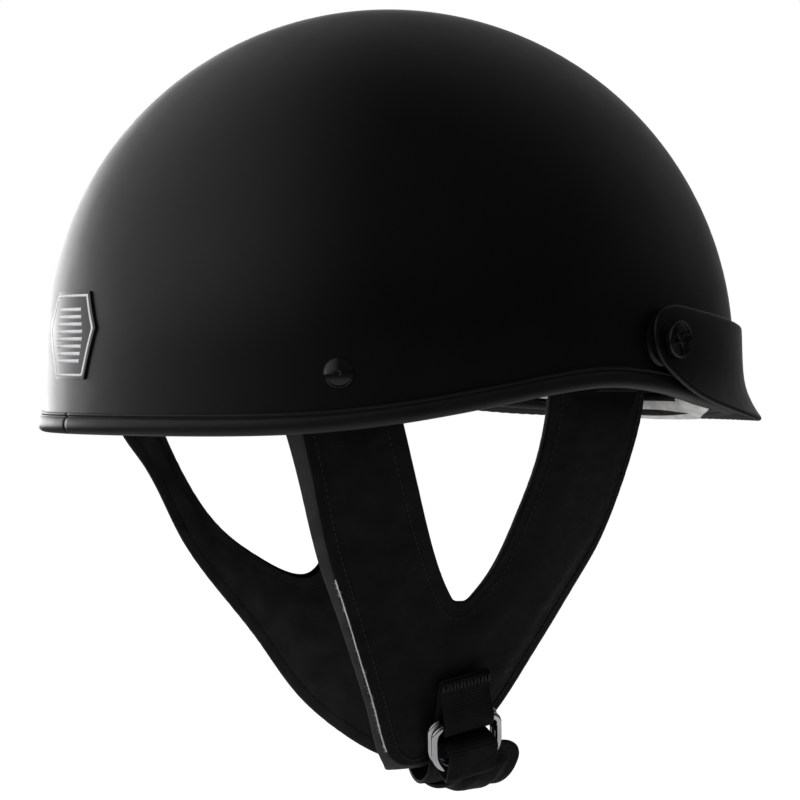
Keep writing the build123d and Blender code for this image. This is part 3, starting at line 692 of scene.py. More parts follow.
def anchorFrame(x, y, z, side):
    out = Vector((side * x / 114 ** 2, y / 135.5 ** 2, 0)).normalized()
    along = Vector((0, 0, 1)).cross(out)
    return Matrix(((along.x, 0, out.x, side * x), (along.y, 0, out.y, y), (along.z, 1, out.z, z),
                   (0, 0, 0, 1)))


def turned(name, profile, place, segments=72):
    # A profile of (radius, height) spun round the anchor's outward axis
    points, faces = [], []
    for radius, height in profile:
        for step in range(segments):
            turn = 2 * math.pi * step / segments
            points.append(place @ Vector((radius * math.cos(turn), radius * math.sin(turn), height)))
    for row in range(len(profile) - 1):
        for step in range(segments):
            a = row * segments + step
            b = row * segments + (step + 1) % segments
            faces.append((a, b, b + segments, a + segments))
    made = meshObject(name, points, faces)
    tool = bmesh.new()
    tool.from_mesh(made.data)
    bmesh.ops.remove_doubles(tool, verts=tool.verts, dist=1e-6)
    bmesh.ops.recalc_face_normals(tool, faces=tool.faces)
    tool.to_mesh(made.data)
    tool.free()
    return made


anchors = {"rear": (92.256, 79.6, 21.8), "front": (107.301, -45.5, 33.5)}
rivetSize = {"radius": 5.25, "height": 3.0, "base": 0.05, "shank": 2.4, "length": 12.4, "tail": 4.2}


def rivetProfile():
    size = rivetSize
    crown = (size["radius"] ** 2 + size["height"] ** 2) / (2 * size["height"])
    rows = [(0, 2.48), (0.35, 2.5), (0.62, 2.62), (0.85, 2.86)]
    for step in range(1, 15):
        radius = 0.85 + (size["radius"] - 1.0) * step / 15
        rows.append((radius, math.sqrt(crown ** 2 - radius ** 2) - crown + size["height"]))
    rows += [(5.0, 0.52), (5.2, 0.32), (5.25, 0.15), (5.2, 0.03), (5.05, 0.0)]
    return [(radius, height + size["base"]) for radius, height in rows]


rivets = []
for side in (-1, 1):
    place = anchorFrame(*anchors["rear"], side)
    length, shank, tail = -rivetSize["length"], rivetSize["shank"], rivetSize["tail"]
    profile = rivetProfile() + [(shank, 0.05), (shank, length), (tail, length), (tail + 0.1, length - 0.3),
                                (tail - 0.2, length - 0.9), (tail - 1.2, length - 1.2), (0, length - 1.25)]
    rivets.append(turned("rivetSide", profile, place))
dress(joined("strapRivets", rivets), looks["gloss"], replaces=["strap_rivets"])

screwSize = {"radius": 6.7, "height": 2.8, "seat": 6.186, "rim": 1.15, "dish": 1.25, "cross": 1.5,
             "curl": 1.5,
             "shank": 2.5, "depth": 6.0}


def screwCross(place):
    # Two raised bars across the dish, each with a slight curl, as a moulded grip has
    size = screwSize
    floor = size["seat"] + size["height"] - size["dish"] - 0.1
    points, faces = [], []
    rows = 17
    reach = size["radius"] - size["rim"] + 0.2
    section = [(-0.5, 0.0), (-0.46, 0.55), (-0.3, 0.85), (0.0, 0.95), (0.3, 0.85), (0.46, 0.55), (0.5, 0.0)]
    for turn in (0.35, 0.35 + math.pi / 2):
        base = len(points)
        for row in range(rows):
            share = 2 * row / (rows - 1) - 1
            along = share * reach
            bend = size["curl"] * math.sin(share * math.pi) * 0.5
            slope = size["curl"] * 0.5 * math.pi / reach * math.cos(share * math.pi)
            for across, up in section:
                shift = across * size["cross"]
                a = along - slope * shift
                b = bend + shift
                points.append(place @ Vector((a * math.cos(turn) - b * math.sin(turn),
                                              a * math.sin(turn) + b * math.cos(turn), floor + up)))
        width = len(section)
        for row in range(rows - 1):
            for corner in range(width - 1):
                a = base + row * width + corner
                faces.append((a, a + 1, a + 1 + width, a + width))
            a = base + row * width
            faces.append((a + width - 1, a, a + width, a + 2 * width - 1))
        faces.append(tuple(base + corner for corner in range(width)))
        faces.append(tuple(base + (rows - 1) * width + corner for corner in range(width))[::-1])
    made = meshObject("cross", points, faces)
    tool = bmesh.new()
    tool.from_mesh(made.data)
    bmesh.ops.recalc_face_normals(tool, faces=tool.faces)
    tool.to_mesh(made.data)
    tool.free()
    return made


for side, name in ((-1, "right"), (1, "left")):
    size = screwSize
    place = anchorFrame(*anchors["front"], side)
    seat, top = size["seat"], size["seat"] + size["height"]
    inner = size["radius"] - size["rim"]
    profile = [(0, top - size["dish"]), (inner - 0.5, top - size["dish"]),
               (inner - 0.15, top - size["dish"] + 0.12),
               (inner, top - size["dish"] + 0.5), (inner + 0.02, top - 0.4), (inner + 0.15, top - 0.12),
               (inner + 0.45, top), (inner + 0.75, top - 0.06), (size["radius"] - 0.12, top - 0.35),
               (size["radius"], top - 0.8), (size["radius"], seat + 0.3), (size["radius"] - 0.25, seat),
               (size["shank"], seat), (size["shank"], -size["depth"]),
               (size["shank"] - 0.5, -size["depth"] - 0.5),
               (0, -size["depth"] - 0.5)]
    profile = [(radius, height) for radius, height in profile]
    head = turned("head", profile, place)
    screw = joined(name + "VisorScrew", [head, screwCross(place)])
    dress(screw, looks["gloss"], body=name + "_screw", replaces=[name + "_visor_screw"])
print("fasteners made")


# Badge print: a plain border and plain ribs, laid on the badge's own face

badgeSize = {"width": 36, "height": 31, "middle": 35, "widest": 0.17, "top": 0.68, "bottom": 0.62,
             "lift": 0.06,
             "border": (1.2, 2.2), "borderPoints": 96, "ribs": 8, "ribGap": 2.6, "ribHeight": 1.2}


def badgeOutline(inset):
    size = badgeSize
    half, high = size["width"] / 2, size["height"] / 2
    widest = high * size["widest"]
    corners = np.array([(-half * size["top"], high), (-half, widest), (-half * size["bottom"], -high),
                        (half * size["bottom"], -high), (half, widest), (half * size["top"], high)])
    return corners * (1 - inset / half)


def onBadge(tree, x, z, lift):
    hit, out, _, _ = tree.ray_cast(Vector((x, 300, z + badgeSize["middle"])) * mm, Vector((0, -1, 0)))
    return hit / mm + out * lift


def badgePrint():
    size = badgeSize
    tree = BVHTree.FromObject(nodes["rear_badge"], bpy.context.evaluated_depsgraph_get())
    points, faces = [], []

    def band(rowA, rowB, closed):
        # A thin raised band between two rows of places
        base, count = len(points), len(rowA)
        for row, lift in ((rowA, -0.02), (rowA, size["lift"]), (rowB, size["lift"]), (rowB, -0.02)):
            points.extend(onBadge(tree, x, z, lift) for x, z in row)
        for place in range(count if closed else count - 1):
            there = (place + 1) % count
            for lane in range(4):
                a, b = base + lane * count, base + (lane + 1) % 4 * count
                faces.append((a + place, a + there, b + there, b + place))
        if not closed:
            faces.append(tuple(base + lane * count for lane in range(4)))
            faces.append(tuple(base + lane * count + count - 1 for lane in range(4))[::-1])

    rows = []
    for inset in size["border"]:
        corners = badgeOutline(inset)
        around = np.linalg.norm(np.roll(corners, -1, axis=0) - corners, axis=1).sum()
        rows.append(resampled(corners, around / size["borderPoints"]))
    band(rows[0], rows[1], True)
    for rib in range(size["ribs"]):
        z = (rib - (size["ribs"] - 1) / 2) * size["ribGap"]
        reach = size["width"] / 2 - 7.5 - 0.25 * abs(z)
        xs = np.linspace(-reach, reach, 22)
        band([(x, z + size["ribHeight"] / 2) for x in xs], [(x, z - size["ribHeight"] / 2) for x in xs],
             False)
    made = meshObject("badgePrint", points, faces)
    tool = bmesh.new()
    tool.from_mesh(made.data)
    bmesh.ops.recalc_face_normals(tool, faces=tool.faces)
    tool.to_mesh(made.data)
    tool.free()
    return made


dress(badgePrint(), looks["print"])
print("badge print made")


# Chin buckle: routes in the front view, as (X, Z)

buckle = {"y": -8.5, "turn": 15.0, "width": 20.0, "angle": 54.2, "lead": 27.0, "radius": 16.1, "z": -114.4,
          "web": 3.85, "outerBar": 9.65, "tail": 9.05, "tailLead": 3.0, "lap": 14.0, "ring": 19.0,
          "ringTilt": 14.0,
          "pitch": 1.15}
armAlong = np.array([math.cos(math.radians(buckle["angle"])), -math.sin(math.radians(buckle["angle"]))])
armOut = np.array([-math.sin(math.radians(buckle["angle"])), -math.cos(math.radians(buckle["angle"]))])


def arm(along, out):
    return np.array([0,
                     buckle["z"]]) + armOut * (buckle["radius"] + out) + armAlong * (along - buckle["lead"])


def leftArm(along, out):
    return arm(along, out) * (-1, 1)


def rounded(points, radius, steps=8):
    # A run with its corners rounded
    points = [np.asarray(point, float) for point in points]
    route = [points[0]]
    for before, corner, after in zip(points, points[1:], points[2:]):
        first, second = before - corner, after - corner
        reach = min(radius, np.linalg.norm(first) * 0.48, np.linalg.norm(second) * 0.48)
        a = corner + first / np.linalg.norm(first) * reach
        b = corner + second / np.linalg.norm(second) * reach
        for step in range(steps + 1):
            share = step / steps
            route.append((1 - share) ** 2 * a + 2 * share * (1 - share) * corner + share ** 2 * b)
    route.append(points[-1])
    return np.array(route)


def ribbon(name, route, width, thickness, y, wave=0.0, step=0.5, columns=14, twist=None):
    # A flat band along a front view route, with soft selvedges
    route = resampled(route, step, closed=False)
    run = np.gradient(route, axis=0)
    run /= np.linalg.norm(run, axis=1)[:, None]
    out = np.stack([run[:, 1], -run[:, 0]], axis=1)
    section = []
    half, deep = width / 2, thickness / 2
    for column in range(columns + 1):
        across = -half + deep * 0.6 + (width - deep * 1.2) * column / columns
        section.append((across, deep))
    section += [(half - deep * 0.15, deep * 0.7), (half, 0), (half - deep * 0.15, -deep * 0.7)]
    section += [(across, -deep) for across, _ in section[columns::-1]]
    section += [(-half + deep * 0.15, -deep * 0.7), (-half, 0), (-half + deep * 0.15, deep * 0.7)]
    points, faces = [], []
    for place, (middle, away) in enumerate(zip(route, out)):
        for across, up in section:
            drift = wave * noise.noise(Vector((place * 0.05, across * 0.12, 2.0)))
            x, z = middle + away * (up + drift)
            points.append((x, y + across, z))
    size = len(section)
    for place in range(len(route) - 1):
        for corner in range(size):
            a, b = place * size + corner, place * size + (corner + 1) % size
            faces.append((a, b, b + size, a + size))
    faces.append(tuple(range(size))[::-1])
    faces.append(tuple((len(route) - 1) * size + corner for corner in range(size)))
    made = meshObject(name, points, faces)
    tool = bmesh.new()
    tool.from_mesh(made.data)
    bmesh.ops.recalc_face_normals(tool, faces=tool.faces)
    tool.to_mesh(made.data)
    tool.free()
    return made


# Geometry Nodes trees for what repeats along a path

def newTree(name, sizes):
    tree = bpy.data.node_groups.new(name, "GeometryNodeTree")
    tree.interface.new_socket("Path", in_out="INPUT", socket_type="NodeSocketGeometry")
    for label, value in sizes.items():
        socket = tree.interface.new_socket(label, in_out="INPUT", socket_type="NodeSocketFloat")
        socket.default_value = value
    tree.interface.new_socket("Surface", in_out="INPUT", socket_type="NodeSocketMaterial")
    tree.interface.new_socket("Result", in_out="OUTPUT", socket_type="NodeSocketGeometry")
    start = addNode(tree, "NodeGroupInput")
    end = addNode(tree, "NodeGroupOutput")
    return tree, start.outputs, end


def closeTree(tree, start, end, geometryOut):
    real = addNode(tree, "GeometryNodeRealizeInstances", {"Geometry": geometryOut})
    smooth = addNode(tree, "GeometryNodeSetShadeSmooth", {"Geometry": real.outputs["Geometry"]})
    paint = addNode(tree, "GeometryNodeSetMaterial", {"Geometry": smooth.outputs["Geometry"],
                                                      "Material": start["Surface"]})
    tree.links.new(paint.outputs["Geometry"], end.inputs["Result"])
    return tree


def stitchTree():
    # One rounded stitch at every step along the path, laid along it
    tree, start, end = newTree("stitches", {"Pitch": 0.003, "Length": 0.0022, "Thickness": 0.0006})
    curve = addNode(tree, "GeometryNodeMeshToCurve", {"Mesh": start["Path"]})
    spots = addNode(tree, "GeometryNodeCurveToPoints",
                    {"Curve": curve.outputs["Curve"], "Length": start["Pitch"]},
                    mode="LENGTH")
    ball = addNode(tree, "GeometryNodeMeshUVSphere", {"Segments": 8, "Rings": 6, "Radius": 0.5})
    size = addNode(tree, "ShaderNodeCombineXYZ", {"X": start["Thickness"], "Y": start["Thickness"],
                                                  "Z": start["Length"]})
    shaped = addNode(tree, "GeometryNodeTransform",
                     {"Geometry": ball.outputs["Mesh"], "Scale": size.outputs["Vector"]})
    laid = addNode(tree, "GeometryNodeInstanceOnPoints", {"Points": spots.outputs["Points"],
                                                          "Instance": shaped.outputs["Geometry"],
                                                          "Rotation": spots.outputs["Rotation"]})
    return closeTree(tree, start, end, laid.outputs["Instances"])


def threadTree():
    # A continuous round thread along the path
    tree, start, end = newTree("thread", {"Thickness": 0.0006})
    curve = addNode(tree, "GeometryNodeMeshToCurve", {"Mesh": start["Path"]})
    half = addNode(tree, "ShaderNodeMath", {0: start["Thickness"], 1: 0.5}, operation="MULTIPLY")
    circle = addNode(tree, "GeometryNodeCurvePrimitiveCircle",
                     {"Resolution": 7, "Radius": half.outputs["Value"]})
    tube = addNode(tree, "GeometryNodeCurveToMesh", {"Curve": curve.outputs["Curve"],
                                                     "Profile Curve": circle.outputs["Curve"],
                                                     "Fill Caps": True})
    return closeTree(tree, start, end, tube.outputs["Mesh"])


def ribTree():
    # A round weft rib right across the web at every step along the path
    tree, start, end = newTree("weftRibs", {"Pitch": 0.00115, "Width": 0.0198, "Thickness": 0.00156})
    curve = addNode(tree, "GeometryNodeMeshToCurve", {"Mesh": start["Path"]})
    spots = addNode(tree, "GeometryNodeCurveToPoints",
                    {"Curve": curve.outputs["Curve"], "Length": start["Pitch"]},
                    mode="LENGTH")
    half = addNode(tree, "ShaderNodeMath", {0: start["Thickness"], 1: 0.5}, operation="MULTIPLY")
    rod = addNode(tree, "GeometryNodeMeshCylinder",
                  {"Vertices": 10, "Side Segments": 3, "Radius": half.outputs["Value"],
                                                     "Depth": start["Width"]})
    laid = addNode(tree, "GeometryNodeInstanceOnPoints", {"Points": spots.outputs["Points"],
                                                          "Instance": rod.outputs["Mesh"],
                                                          "Rotation": (math.pi / 2, 0, 0)})
    return closeTree(tree, start, end, laid.outputs["Instances"])


def fibreTree():
    # Fine fibres that stand off the path every way, from a fixed seed
    tree, start, end = newTree("fibres", {"Pitch": 0.0002, "Length": 0.0016, "Thickness": 0.00012,
                                          "Spread": 0.0005})
    curve = addNode(tree, "GeometryNodeMeshToCurve", {"Mesh": start["Path"]})
    spots = addNode(tree, "GeometryNodeCurveToPoints",
                    {"Curve": curve.outputs["Curve"], "Length": start["Pitch"]},
                    mode="LENGTH")
    back = addNode(tree, "ShaderNodeMath", {0: start["Spread"], 1: -1.0}, operation="MULTIPLY")
    low = addNode(tree, "ShaderNodeCombineXYZ", {"X": back.outputs["Value"], "Y": back.outputs["Value"],
                                                 "Z": back.outputs["Value"]})
    high = addNode(tree, "ShaderNodeCombineXYZ", {"X": start["Spread"], "Y": start["Spread"],
                                                  "Z": start["Spread"]})
    shift = addNode(tree, "FunctionNodeRandomValue", data_type="FLOAT_VECTOR")
    tree.links.new(low.outputs["Vector"], shift.inputs[0])
    tree.links.new(high.outputs["Vector"], shift.inputs[1])
    shift.inputs["Seed"].default_value = 5
    moved = addNode(tree, "GeometryNodeSetPosition", {"Geometry": spots.outputs["Points"],
                                                      "Offset": shift.outputs[0]})
    turn = addNode(tree, "FunctionNodeRandomValue", data_type="FLOAT_VECTOR")
    turn.inputs[0].default_value = (0, 0, 0)
    turn.inputs[1].default_value = (math.tau, math.tau, math.tau)
    turn.inputs["Seed"].default_value = 8
    size = addNode(tree, "FunctionNodeRandomValue", data_type="FLOAT")
    size.inputs[2].default_value = 0.45
    size.inputs[3].default_value = 1.0
    size.inputs["Seed"].default_value = 13
    half = addNode(tree, "ShaderNodeMath", {0: start["Thickness"], 1: 0.5}, operation="MULTIPLY")
    hair = addNode(tree, "GeometryNodeMeshCone",
                   {"Vertices": 4, "Radius Top": 0.0, "Radius Bottom": half.outputs["Value"],
                                                  "Depth": start["Length"]})
    laid = addNode(tree, "GeometryNodeInstanceOnPoints", {"Points": moved.outputs["Geometry"],
                                                          "Instance": hair.outputs["Mesh"],
                                                          "Rotation": turn.outputs[0],
                                                          "Scale": size.outputs[1]})
    return closeTree(tree, start, end, laid.outputs["Instances"])


trees = {"stitches": stitchTree(), "thread": threadTree(), "ribs": ribTree(), "fibres": fibreTree()}


def alongPaths(name, treeName, runs, look, **sizes):
    # Runs a tree along open runs of points and keeps the plain mesh
    points, edges = [], []
    for run in runs:
        first = len(points)
        points += [tuple(point) for point in run]
        edges += [(place, place + 1) for place in range(first, len(points) - 1)]
    made = meshObject(name, points, [], edges)
    tree = trees[treeName]
    modifier = made.modifiers.new("tree", "NODES")
    modifier.node_group = tree
    for item in tree.interface.items_tree:
        if item.item_type == "SOCKET" and item.in_out == "INPUT":
            if item.name in sizes:
                modifier[item.identifier] = sizes[item.name] * mm
            elif item.name == "Surface":
                modifier[item.identifier] = look
    return bakeModifiers(made)


def frontRun(route, y, spacing=0.6):
    return [(x, y, z) for x, z in resampled(route, spacing, closed=False)]


def onTurn(made):
    # The buckle sits turned on the strap, about the way out of the right arm
    x, z = arm(0, buckle["web"])
    middle = Vector((x, buckle["y"], z)) * mm
    axis = Vector((armOut[0], 0, armOut[1]))
    spin = Matrix.Rotation(math.radians(buckle["turn"]), 4, axis)
    made.data.transform(Matrix.Translation(middle) @ spin @ Matrix.Translation(-middle))
    return made


def ribbedWeb(name, route):
    # Webbing with a weft rib at every pick and a soft selvedge
    band = ribbon(name + "Core", route, buckle["width"], 1.1, buckle["y"])
    ribs = alongPaths(name + "Ribs", "ribs", [frontRun(route, buckle["y"], 0.3)], looks["webbing"],
                      Pitch=buckle["pitch"], Width=buckle["width"] - 0.2, Thickness=1.5)
    return onTurn(joined(name, [band, ribs]))


def chinPoint(run, y, up):
    # Place on the band under the chin: run along it, place along the length, height off its middle
    lead, radius = buckle["lead"], buckle["radius"] + buckle["web"]
    sweep = math.radians(2 * buckle["angle"])
    turn = (run - lead) / radius
    if turn < 0:
        x, z = arm(run, buckle["web"] + up)
    elif turn > sweep:
        x, z = leftArm(lead - (run - lead - sweep * radius), buckle["web"] + up)
    else:
        turn -= math.radians(buckle["angle"])
        x, z = (radius + up) * math.sin(turn), buckle["z"] - (radius + up) * math.cos(turn)
    return (x, y, z)


def chinBand():
    # The band runs forward as it crosses under the chin, so its ribs lie square to that slant
    slant = math.radians(buckle["turn"])
    bend = math.radians(2 * buckle["angle"]) * (buckle["radius"] + buckle["web"])
    last = buckle["lead"] + bend + buckle["lap"]
    half = buckle["width"] / 2
    stations = np.arange(16.5, last, 0.6)
    across = np.linspace(-half, half, 15)
    rows = [(w, 0.55 if abs(w) < half - 0.1 else 0.0) for w in across]
    rows += [(w, -0.55) for w in across[-2:0:-1]]
    points, faces = [], []
    for run in stations:
        middle = buckle["y"] - run * math.tan(slant)
        for w, up in rows:
            points.append(chinPoint(run + w * math.sin(slant), middle + w * math.cos(slant), up))
    size = len(rows)
    for place in range(len(stations) - 1):
        for corner in range(size):
            a, b = place * size + corner, place * size + (corner + 1) % size
            faces.append((a, b, b + size, a + size))
    faces.append(tuple(range(size))[::-1])
    faces.append(tuple((len(stations) - 1) * size + corner for corner in range(size)))
    core = meshObject("chinCore", points, faces)
    tool = bmesh.new()
    tool.from_mesh(core.data)
    bmesh.ops.recalc_face_normals(tool, faces=tool.faces)
    tool.to_mesh(core.data)
    tool.free()
    ribs = []
    for run in np.arange(17, last - 0.5, buckle["pitch"]):
        middle = buckle["y"] - run * math.tan(slant)
        ribs.append([chinPoint(run + w * math.sin(slant), middle + w * math.cos(slant), 0)
                     for w in np.linspace(-half + 0.1, half - 0.1, 9)])
    return joined("chinBand", [core, alongPaths("chinRibs", "thread", ribs, looks["webbing"],
                                                Thickness=1.5)])


wireHalf, webHalf = 1.5, 0.7
loopEnd = wireHalf + 0.4 + webHalf
loopRoute = rounded([arm(-18, buckle["web"]), arm(loopEnd, buckle["web"]),
                     arm(loopEnd, buckle["outerBar"] + loopEnd),
                     arm(-loopEnd, buckle["outerBar"] + loopEnd),
                     arm(-12, buckle["web"] + 1.4 + 0.25), arm(-18, buckle["web"] + 1.65)], 2.2)
dress(ribbedWeb("ringLoopWebbing", loopRoute), looks["webbing"],
      replaces=["ring_loop_webbing"])

tilt = math.radians(buckle["ringTilt"])
ringEnd = (buckle["ring"] * math.cos(tilt), buckle["outerBar"] + buckle["ring"] * math.sin(tilt))
wrap = wireHalf + 1.3 + webHalf
foldRoute = rounded([arm(21, buckle["web"]), arm(9.5, buckle["web"]), arm(9.5 - wrap, ringEnd[1] + wrap),
                     arm(ringEnd[0] + wrap, ringEnd[1] + wrap), arm(ringEnd[0] + wrap, buckle["tail"]),
                     arm(ringEnd[0] + wrap + buckle["tailLead"], buckle["tail"])], 3.2)
chinWebbing = joined("chinWebbing", [ribbedWeb("foldedWeb", foldRoute), chinBand()])
dress(chinWebbing, looks["webbing"], replaces=["chin_webbing"])


def barTack():
    # A row of close satin stitches across the loop's end
    height = buckle["web"] + 2.1 + 0.25 + 0.15
    teeth = []
    for step in range(14):
        y = buckle["y"] - 9.2 + 18.4 * step / 13
        lean = 0.35 * (-1) ** step
        ends = [(-17.9, -0.25), (-17.3, 0.2), (-16.5, 0.3), (-15.7, 0.2), (-15.1, -0.25)]
        teeth.append([(arm(along, height + up)[0], y + lean * (along + 16.5) / 3,
                       arm(along, height + up)[1])
                      for along, up in ends])
    return onTurn(alongPaths("loopBarTack", "thread", teeth, looks["thread"], Thickness=0.95))


dress(barTack(), looks["thread"], replaces=["loop_bar_tack"])
print("buckle webbing made")


# The padded tongue at the left strap's end, seen from the chin's centre

tongueSize = {"wall": 3.2, "hem": 1.4, "hemTop": -1.0, "seam": 4.2, "puff": 0.5, "reach": 22.35}


def chinChart():
    def flat(p):
        return np.stack([np.arctan2(p[:, 0], buckle["z"] - p[:, 2]) * tongueSize["reach"], p[:, 1]], axis=1)

    def ray(a, b):
        turn = a / tongueSize["reach"]
        out = Vector((math.sin(turn), 0, -math.cos(turn)))
        return Vector((0, b, buckle["z"])) + out * 70, -out
    return {"flat": flat, "ray": ray}


def tongueTop(distance, flatPoints):
    size = tongueSize
    swell = ease(distance, size["seam"], 9)
    folds = np.array([noise.noise(Vector(((a + b) / 7, (a - b) / 22, 1.7))) for a, b in flatPoints])
    top = size["hemTop"] * (1 - swell) - roundOver(distance, size["hem"] / 2) - 0.3 * bump(distance,
                                                                                           size["seam"],
                                                                                           0.45)
    return top + (size["puff"] + 0.5 * folds) * swell


def tongueUnder(distance, flatPoints):
    size = tongueSize
    return -size["wall"] + roundOver(distance, size["hem"] / 2) + 0.5 * (1 - ease(distance,
                                                                                  size["seam"], 9))


tongue = buildPanel("chinTongue", "chin_tongue", ((0, -30.5, -200), (0, 0, 1)), chinChart(),
                    edgeInsets[:13],
                    tongueTop, tongueUnder, step=1.0, grid=2.0)
dress(tongue["object"], looks["strap"], replaces=["chin_tongue"])
print("tongue made")


# Sewn edges: stitches in the seams, and raw fleece along the right strap's rear edge

stitchSize = {"Pitch": 2.6, "Length": 2.0, "Thickness": 0.5}


def seamRun(panel, inset, lift):
    # Places on a panel's face along its seam, as open runs
    runs, run = [], []
    for a, b in resampled(movedIn(panel["loop"], inset), 0.8):
        place = onPanel(panel, a, b, lift)
        if place is None or (run and (place - run[-1]).length > 4):
            runs.append(run)
            run = []
        if place is not None:
            run.append(place)
    runs.append(run)
    return [run for run in runs if len(run) > 3]


def sewn(name, panel, inset, look, body="helmet"):
    made = alongPaths(name, "stitches", seamRun(panel, inset, 0.02), look, **stitchSize)
    return dress(made, look, body=body)


sewn("rightStrapStitches", covers[-1], strapSize["seamInset"], looks["thread"])
sewn("leftStrapStitches", covers[1], strapSize["seamInset"], looks["thread"])
sewn("rightLiningStitches", covers["rightLining"], strapSize["seamInset"], looks["thread"])
sewn("leftLiningStitches", covers["leftLining"], strapSize["seamInset"], looks["thread"])
sewn("tongueStitches", tongue, tongueSize["seam"], looks["thread"])


def fleeceEdge():
    spots = []
    for (y, z), place in zip(*covers[-1]["rim"]):
        rear = covers[-1]["loop"][np.abs(covers[-1]["loop"][:, 1] - z) < 1.2, 0].max()
        if y > rear - 1.0 and -127 < z < -52:
            spots.append((z, place + (0.1, 0.15, -0.1)))
    spots.sort(key=lambda spot: spot[0])
    run = resampled([place for _, place in spots], 1.0, closed=False)
    cord = alongPaths("fleeceCord", "thread", [run], looks["fleece"], Thickness=0.5)
    hairs = alongPaths("fleeceHairs", "fibres", [run], looks["fleece"], Pitch=0.12, Length=1.3,
                       Thickness=0.14,
                       Spread=0.35)
    return joined("fleeceEdge", [cord, hairs])


dress(fleeceEdge(), looks["fleece"])
print("seams made")


# Webbing inside the straps, and the hangers from the fasteners: softened copies of the solids

def softened(name, nodeName, voxel, rounds):
    made = mergedCopy(name, nodeName)
    remesh = made.modifiers.new("remesh", "REMESH")
    remesh.mode = "VOXEL"
    remesh.voxel_size = voxel * mm
    soften = made.modifiers.new("soften", "SMOOTH")
    soften.factor = 0.5
    soften.iterations = rounds
    bakeModifiers(made)
    made.data.polygons.foreach_set("use_smooth", [True] * len(made.data.polygons))
    return made


for side in ("right", "left"):
    dress(softened(side + "StrapWebbing", side + "_strap_webbing", 0.8, 4), looks["webbing"],
          replaces=[side + "_strap_webbing"])
    for end in ("Front", "Rear"):
        node = f"{side}_{end.lower()}_strap_hanger"
        dress(softened(f"{side}{end}StrapHanger", node, 0.55, 4), looks["webbing"],
              replaces=[node])
print("hangers made")


# Comfort pads: swollen by cloth pressure, held off the foam, with their seams put in afterwards

padSize = {"voxel": 3.0, "cap": 2.2, "pressure": 4.0, "frames": 20, "fill": 0.6, "skirtVoxel": 1.5}


def foamWay(point):
    # The way towards the foam from inside the dome
    return Vector((point.x / 114 ** 2, point.y / 135.5 ** 2, (point.z - 0.0288) / 129.5 ** 2)).normalized()


def padded(name, nodeName, look, cap):
    made = mergedCopy(name, nodeName)
    remesh = made.modifiers.new("remesh", "REMESH")
    remesh.mode = "VOXEL"
    remesh.voxel_size = padSize["voxel"] * mm
    bakeModifiers(made)
    rest = [vert.co.copy() for vert in made.data.vertices]
    cloth = made.modifiers.new("cloth", "CLOTH")
    cloth.settings.use_pressure = True
    cloth.settings.uniform_pressure_force = padSize["pressure"]
    cloth.settings.effector_weights.gravity = 0
    for step in range(1, padSize["frames"] + 1):
        scene.frame_set(step)
    bakeModifiers(made)
    scene.frame_set(1)
    for vert, start in zip(made.data.vertices, rest):
        moved = vert.co - start
        way = foamWay(start)
        moved -= way * max(moved.dot(way), 0)
        if moved.length > cap * mm:
            moved *= cap * mm / moved.length
        vert.co = start + moved
    finer = made.modifiers.new("finer", "SUBSURF")
    finer.levels = 1
    finer.render_levels = 1
    bakeModifiers(made)
    made.data.polygons.foreach_set("use_smooth", [True] * len(made.data.polygons))
    dress(made, look, replaces=[nodeName])
    return made


for name, nodeName in (("browPad", "brow_pad"), ("napePad", "nape_pad"), ("rightSidePad", "right_side_pad"),
                       ("leftSidePad", "left_side_pad"), ("crownPad", "crown_pad")):
    pad = padded(name, nodeName, looks["pad"], padSize["cap"])
    if name == "crownPad":
        back = max(vert.co.z for vert in pad.data.vertices) - 4 * mm
        for vert in pad.data.vertices:
            x, y = vert.co.x / mm, vert.co.y / mm
            deep = max(math.exp(-(x / 2.0) ** 2), math.exp(-(y / 2.0) ** 2))
            vert.co.z += 2.2 * mm * deep * (vert.co.z < back)
print("pads made")


# Skirt: the brushed fabric roll round the liner's lower edge

skirtHang = {"drop": 6.0, "lip": 5.6, "inward": (0.4, 1.4), "top": 11.0, "fade": 2.2, "ends": (35, 62)}


def skirtDrop(place, lipTree):
    # At the front the roll hangs in front of the trim's inner lip
    if place.y > -100:
        return 0
    hit = lipTree.ray_cast(Vector((0, 0, skirtHang["lip"] * mm)),
                           Vector((place.x, place.y, 0)).normalized())[0]
    if hit is None:
        return 0
    inward = hit.xy.length / mm - place.xy.length
    share = ease(inward, *skirtHang["inward"]) * ease(skirtHang["top"] - place.z, 0, skirtHang["fade"])
    return skirtHang["drop"] * share * (1 - ease(abs(place.x), *skirtHang["ends"]))


def skirtRoll(name, nodeName):
    made = softened(name, nodeName, padSize["skirtVoxel"], 3)
    lipTree = BVHTree.FromObject(bpy.data.objects["edgeTrim"], bpy.context.evaluated_depsgraph_get())
    for vert in made.data.vertices:
        place = vert.co / mm
        vert.co.z -= skirtDrop(place, lipTree) * mm
        turn = math.atan2(place.x, -place.y) * 125
        drift = noise.noise(Vector((turn / 5, place.z / 6, 2.2))) * 0.35
        vert.co -= foamWay(vert.co) * (0.3 + drift) * mm
    dress(made, looks["skirt"], replaces=[nodeName])


for name in sorted(nodes):
    if name.endswith("_liner_skirt"):
        skirtRoll(name.split("_")[0] + "LinerSkirt", name)
print("skirt made")

# The dome, with its halves joined so that no seam shows in its shine

dome = mergedCopy("shellDome", "outer_shell")
if "custom_normal" in dome.data.attributes:
    dome.data.attributes.remove(dome.data.attributes["custom_normal"])
dome.data.polygons.foreach_set("use_smooth", [True] * len(dome.data.polygons))
dome.data.set_sharp_from_angle(angle=math.radians(28))
dress(dome, looks["shell"], replaces=["outer_shell"])

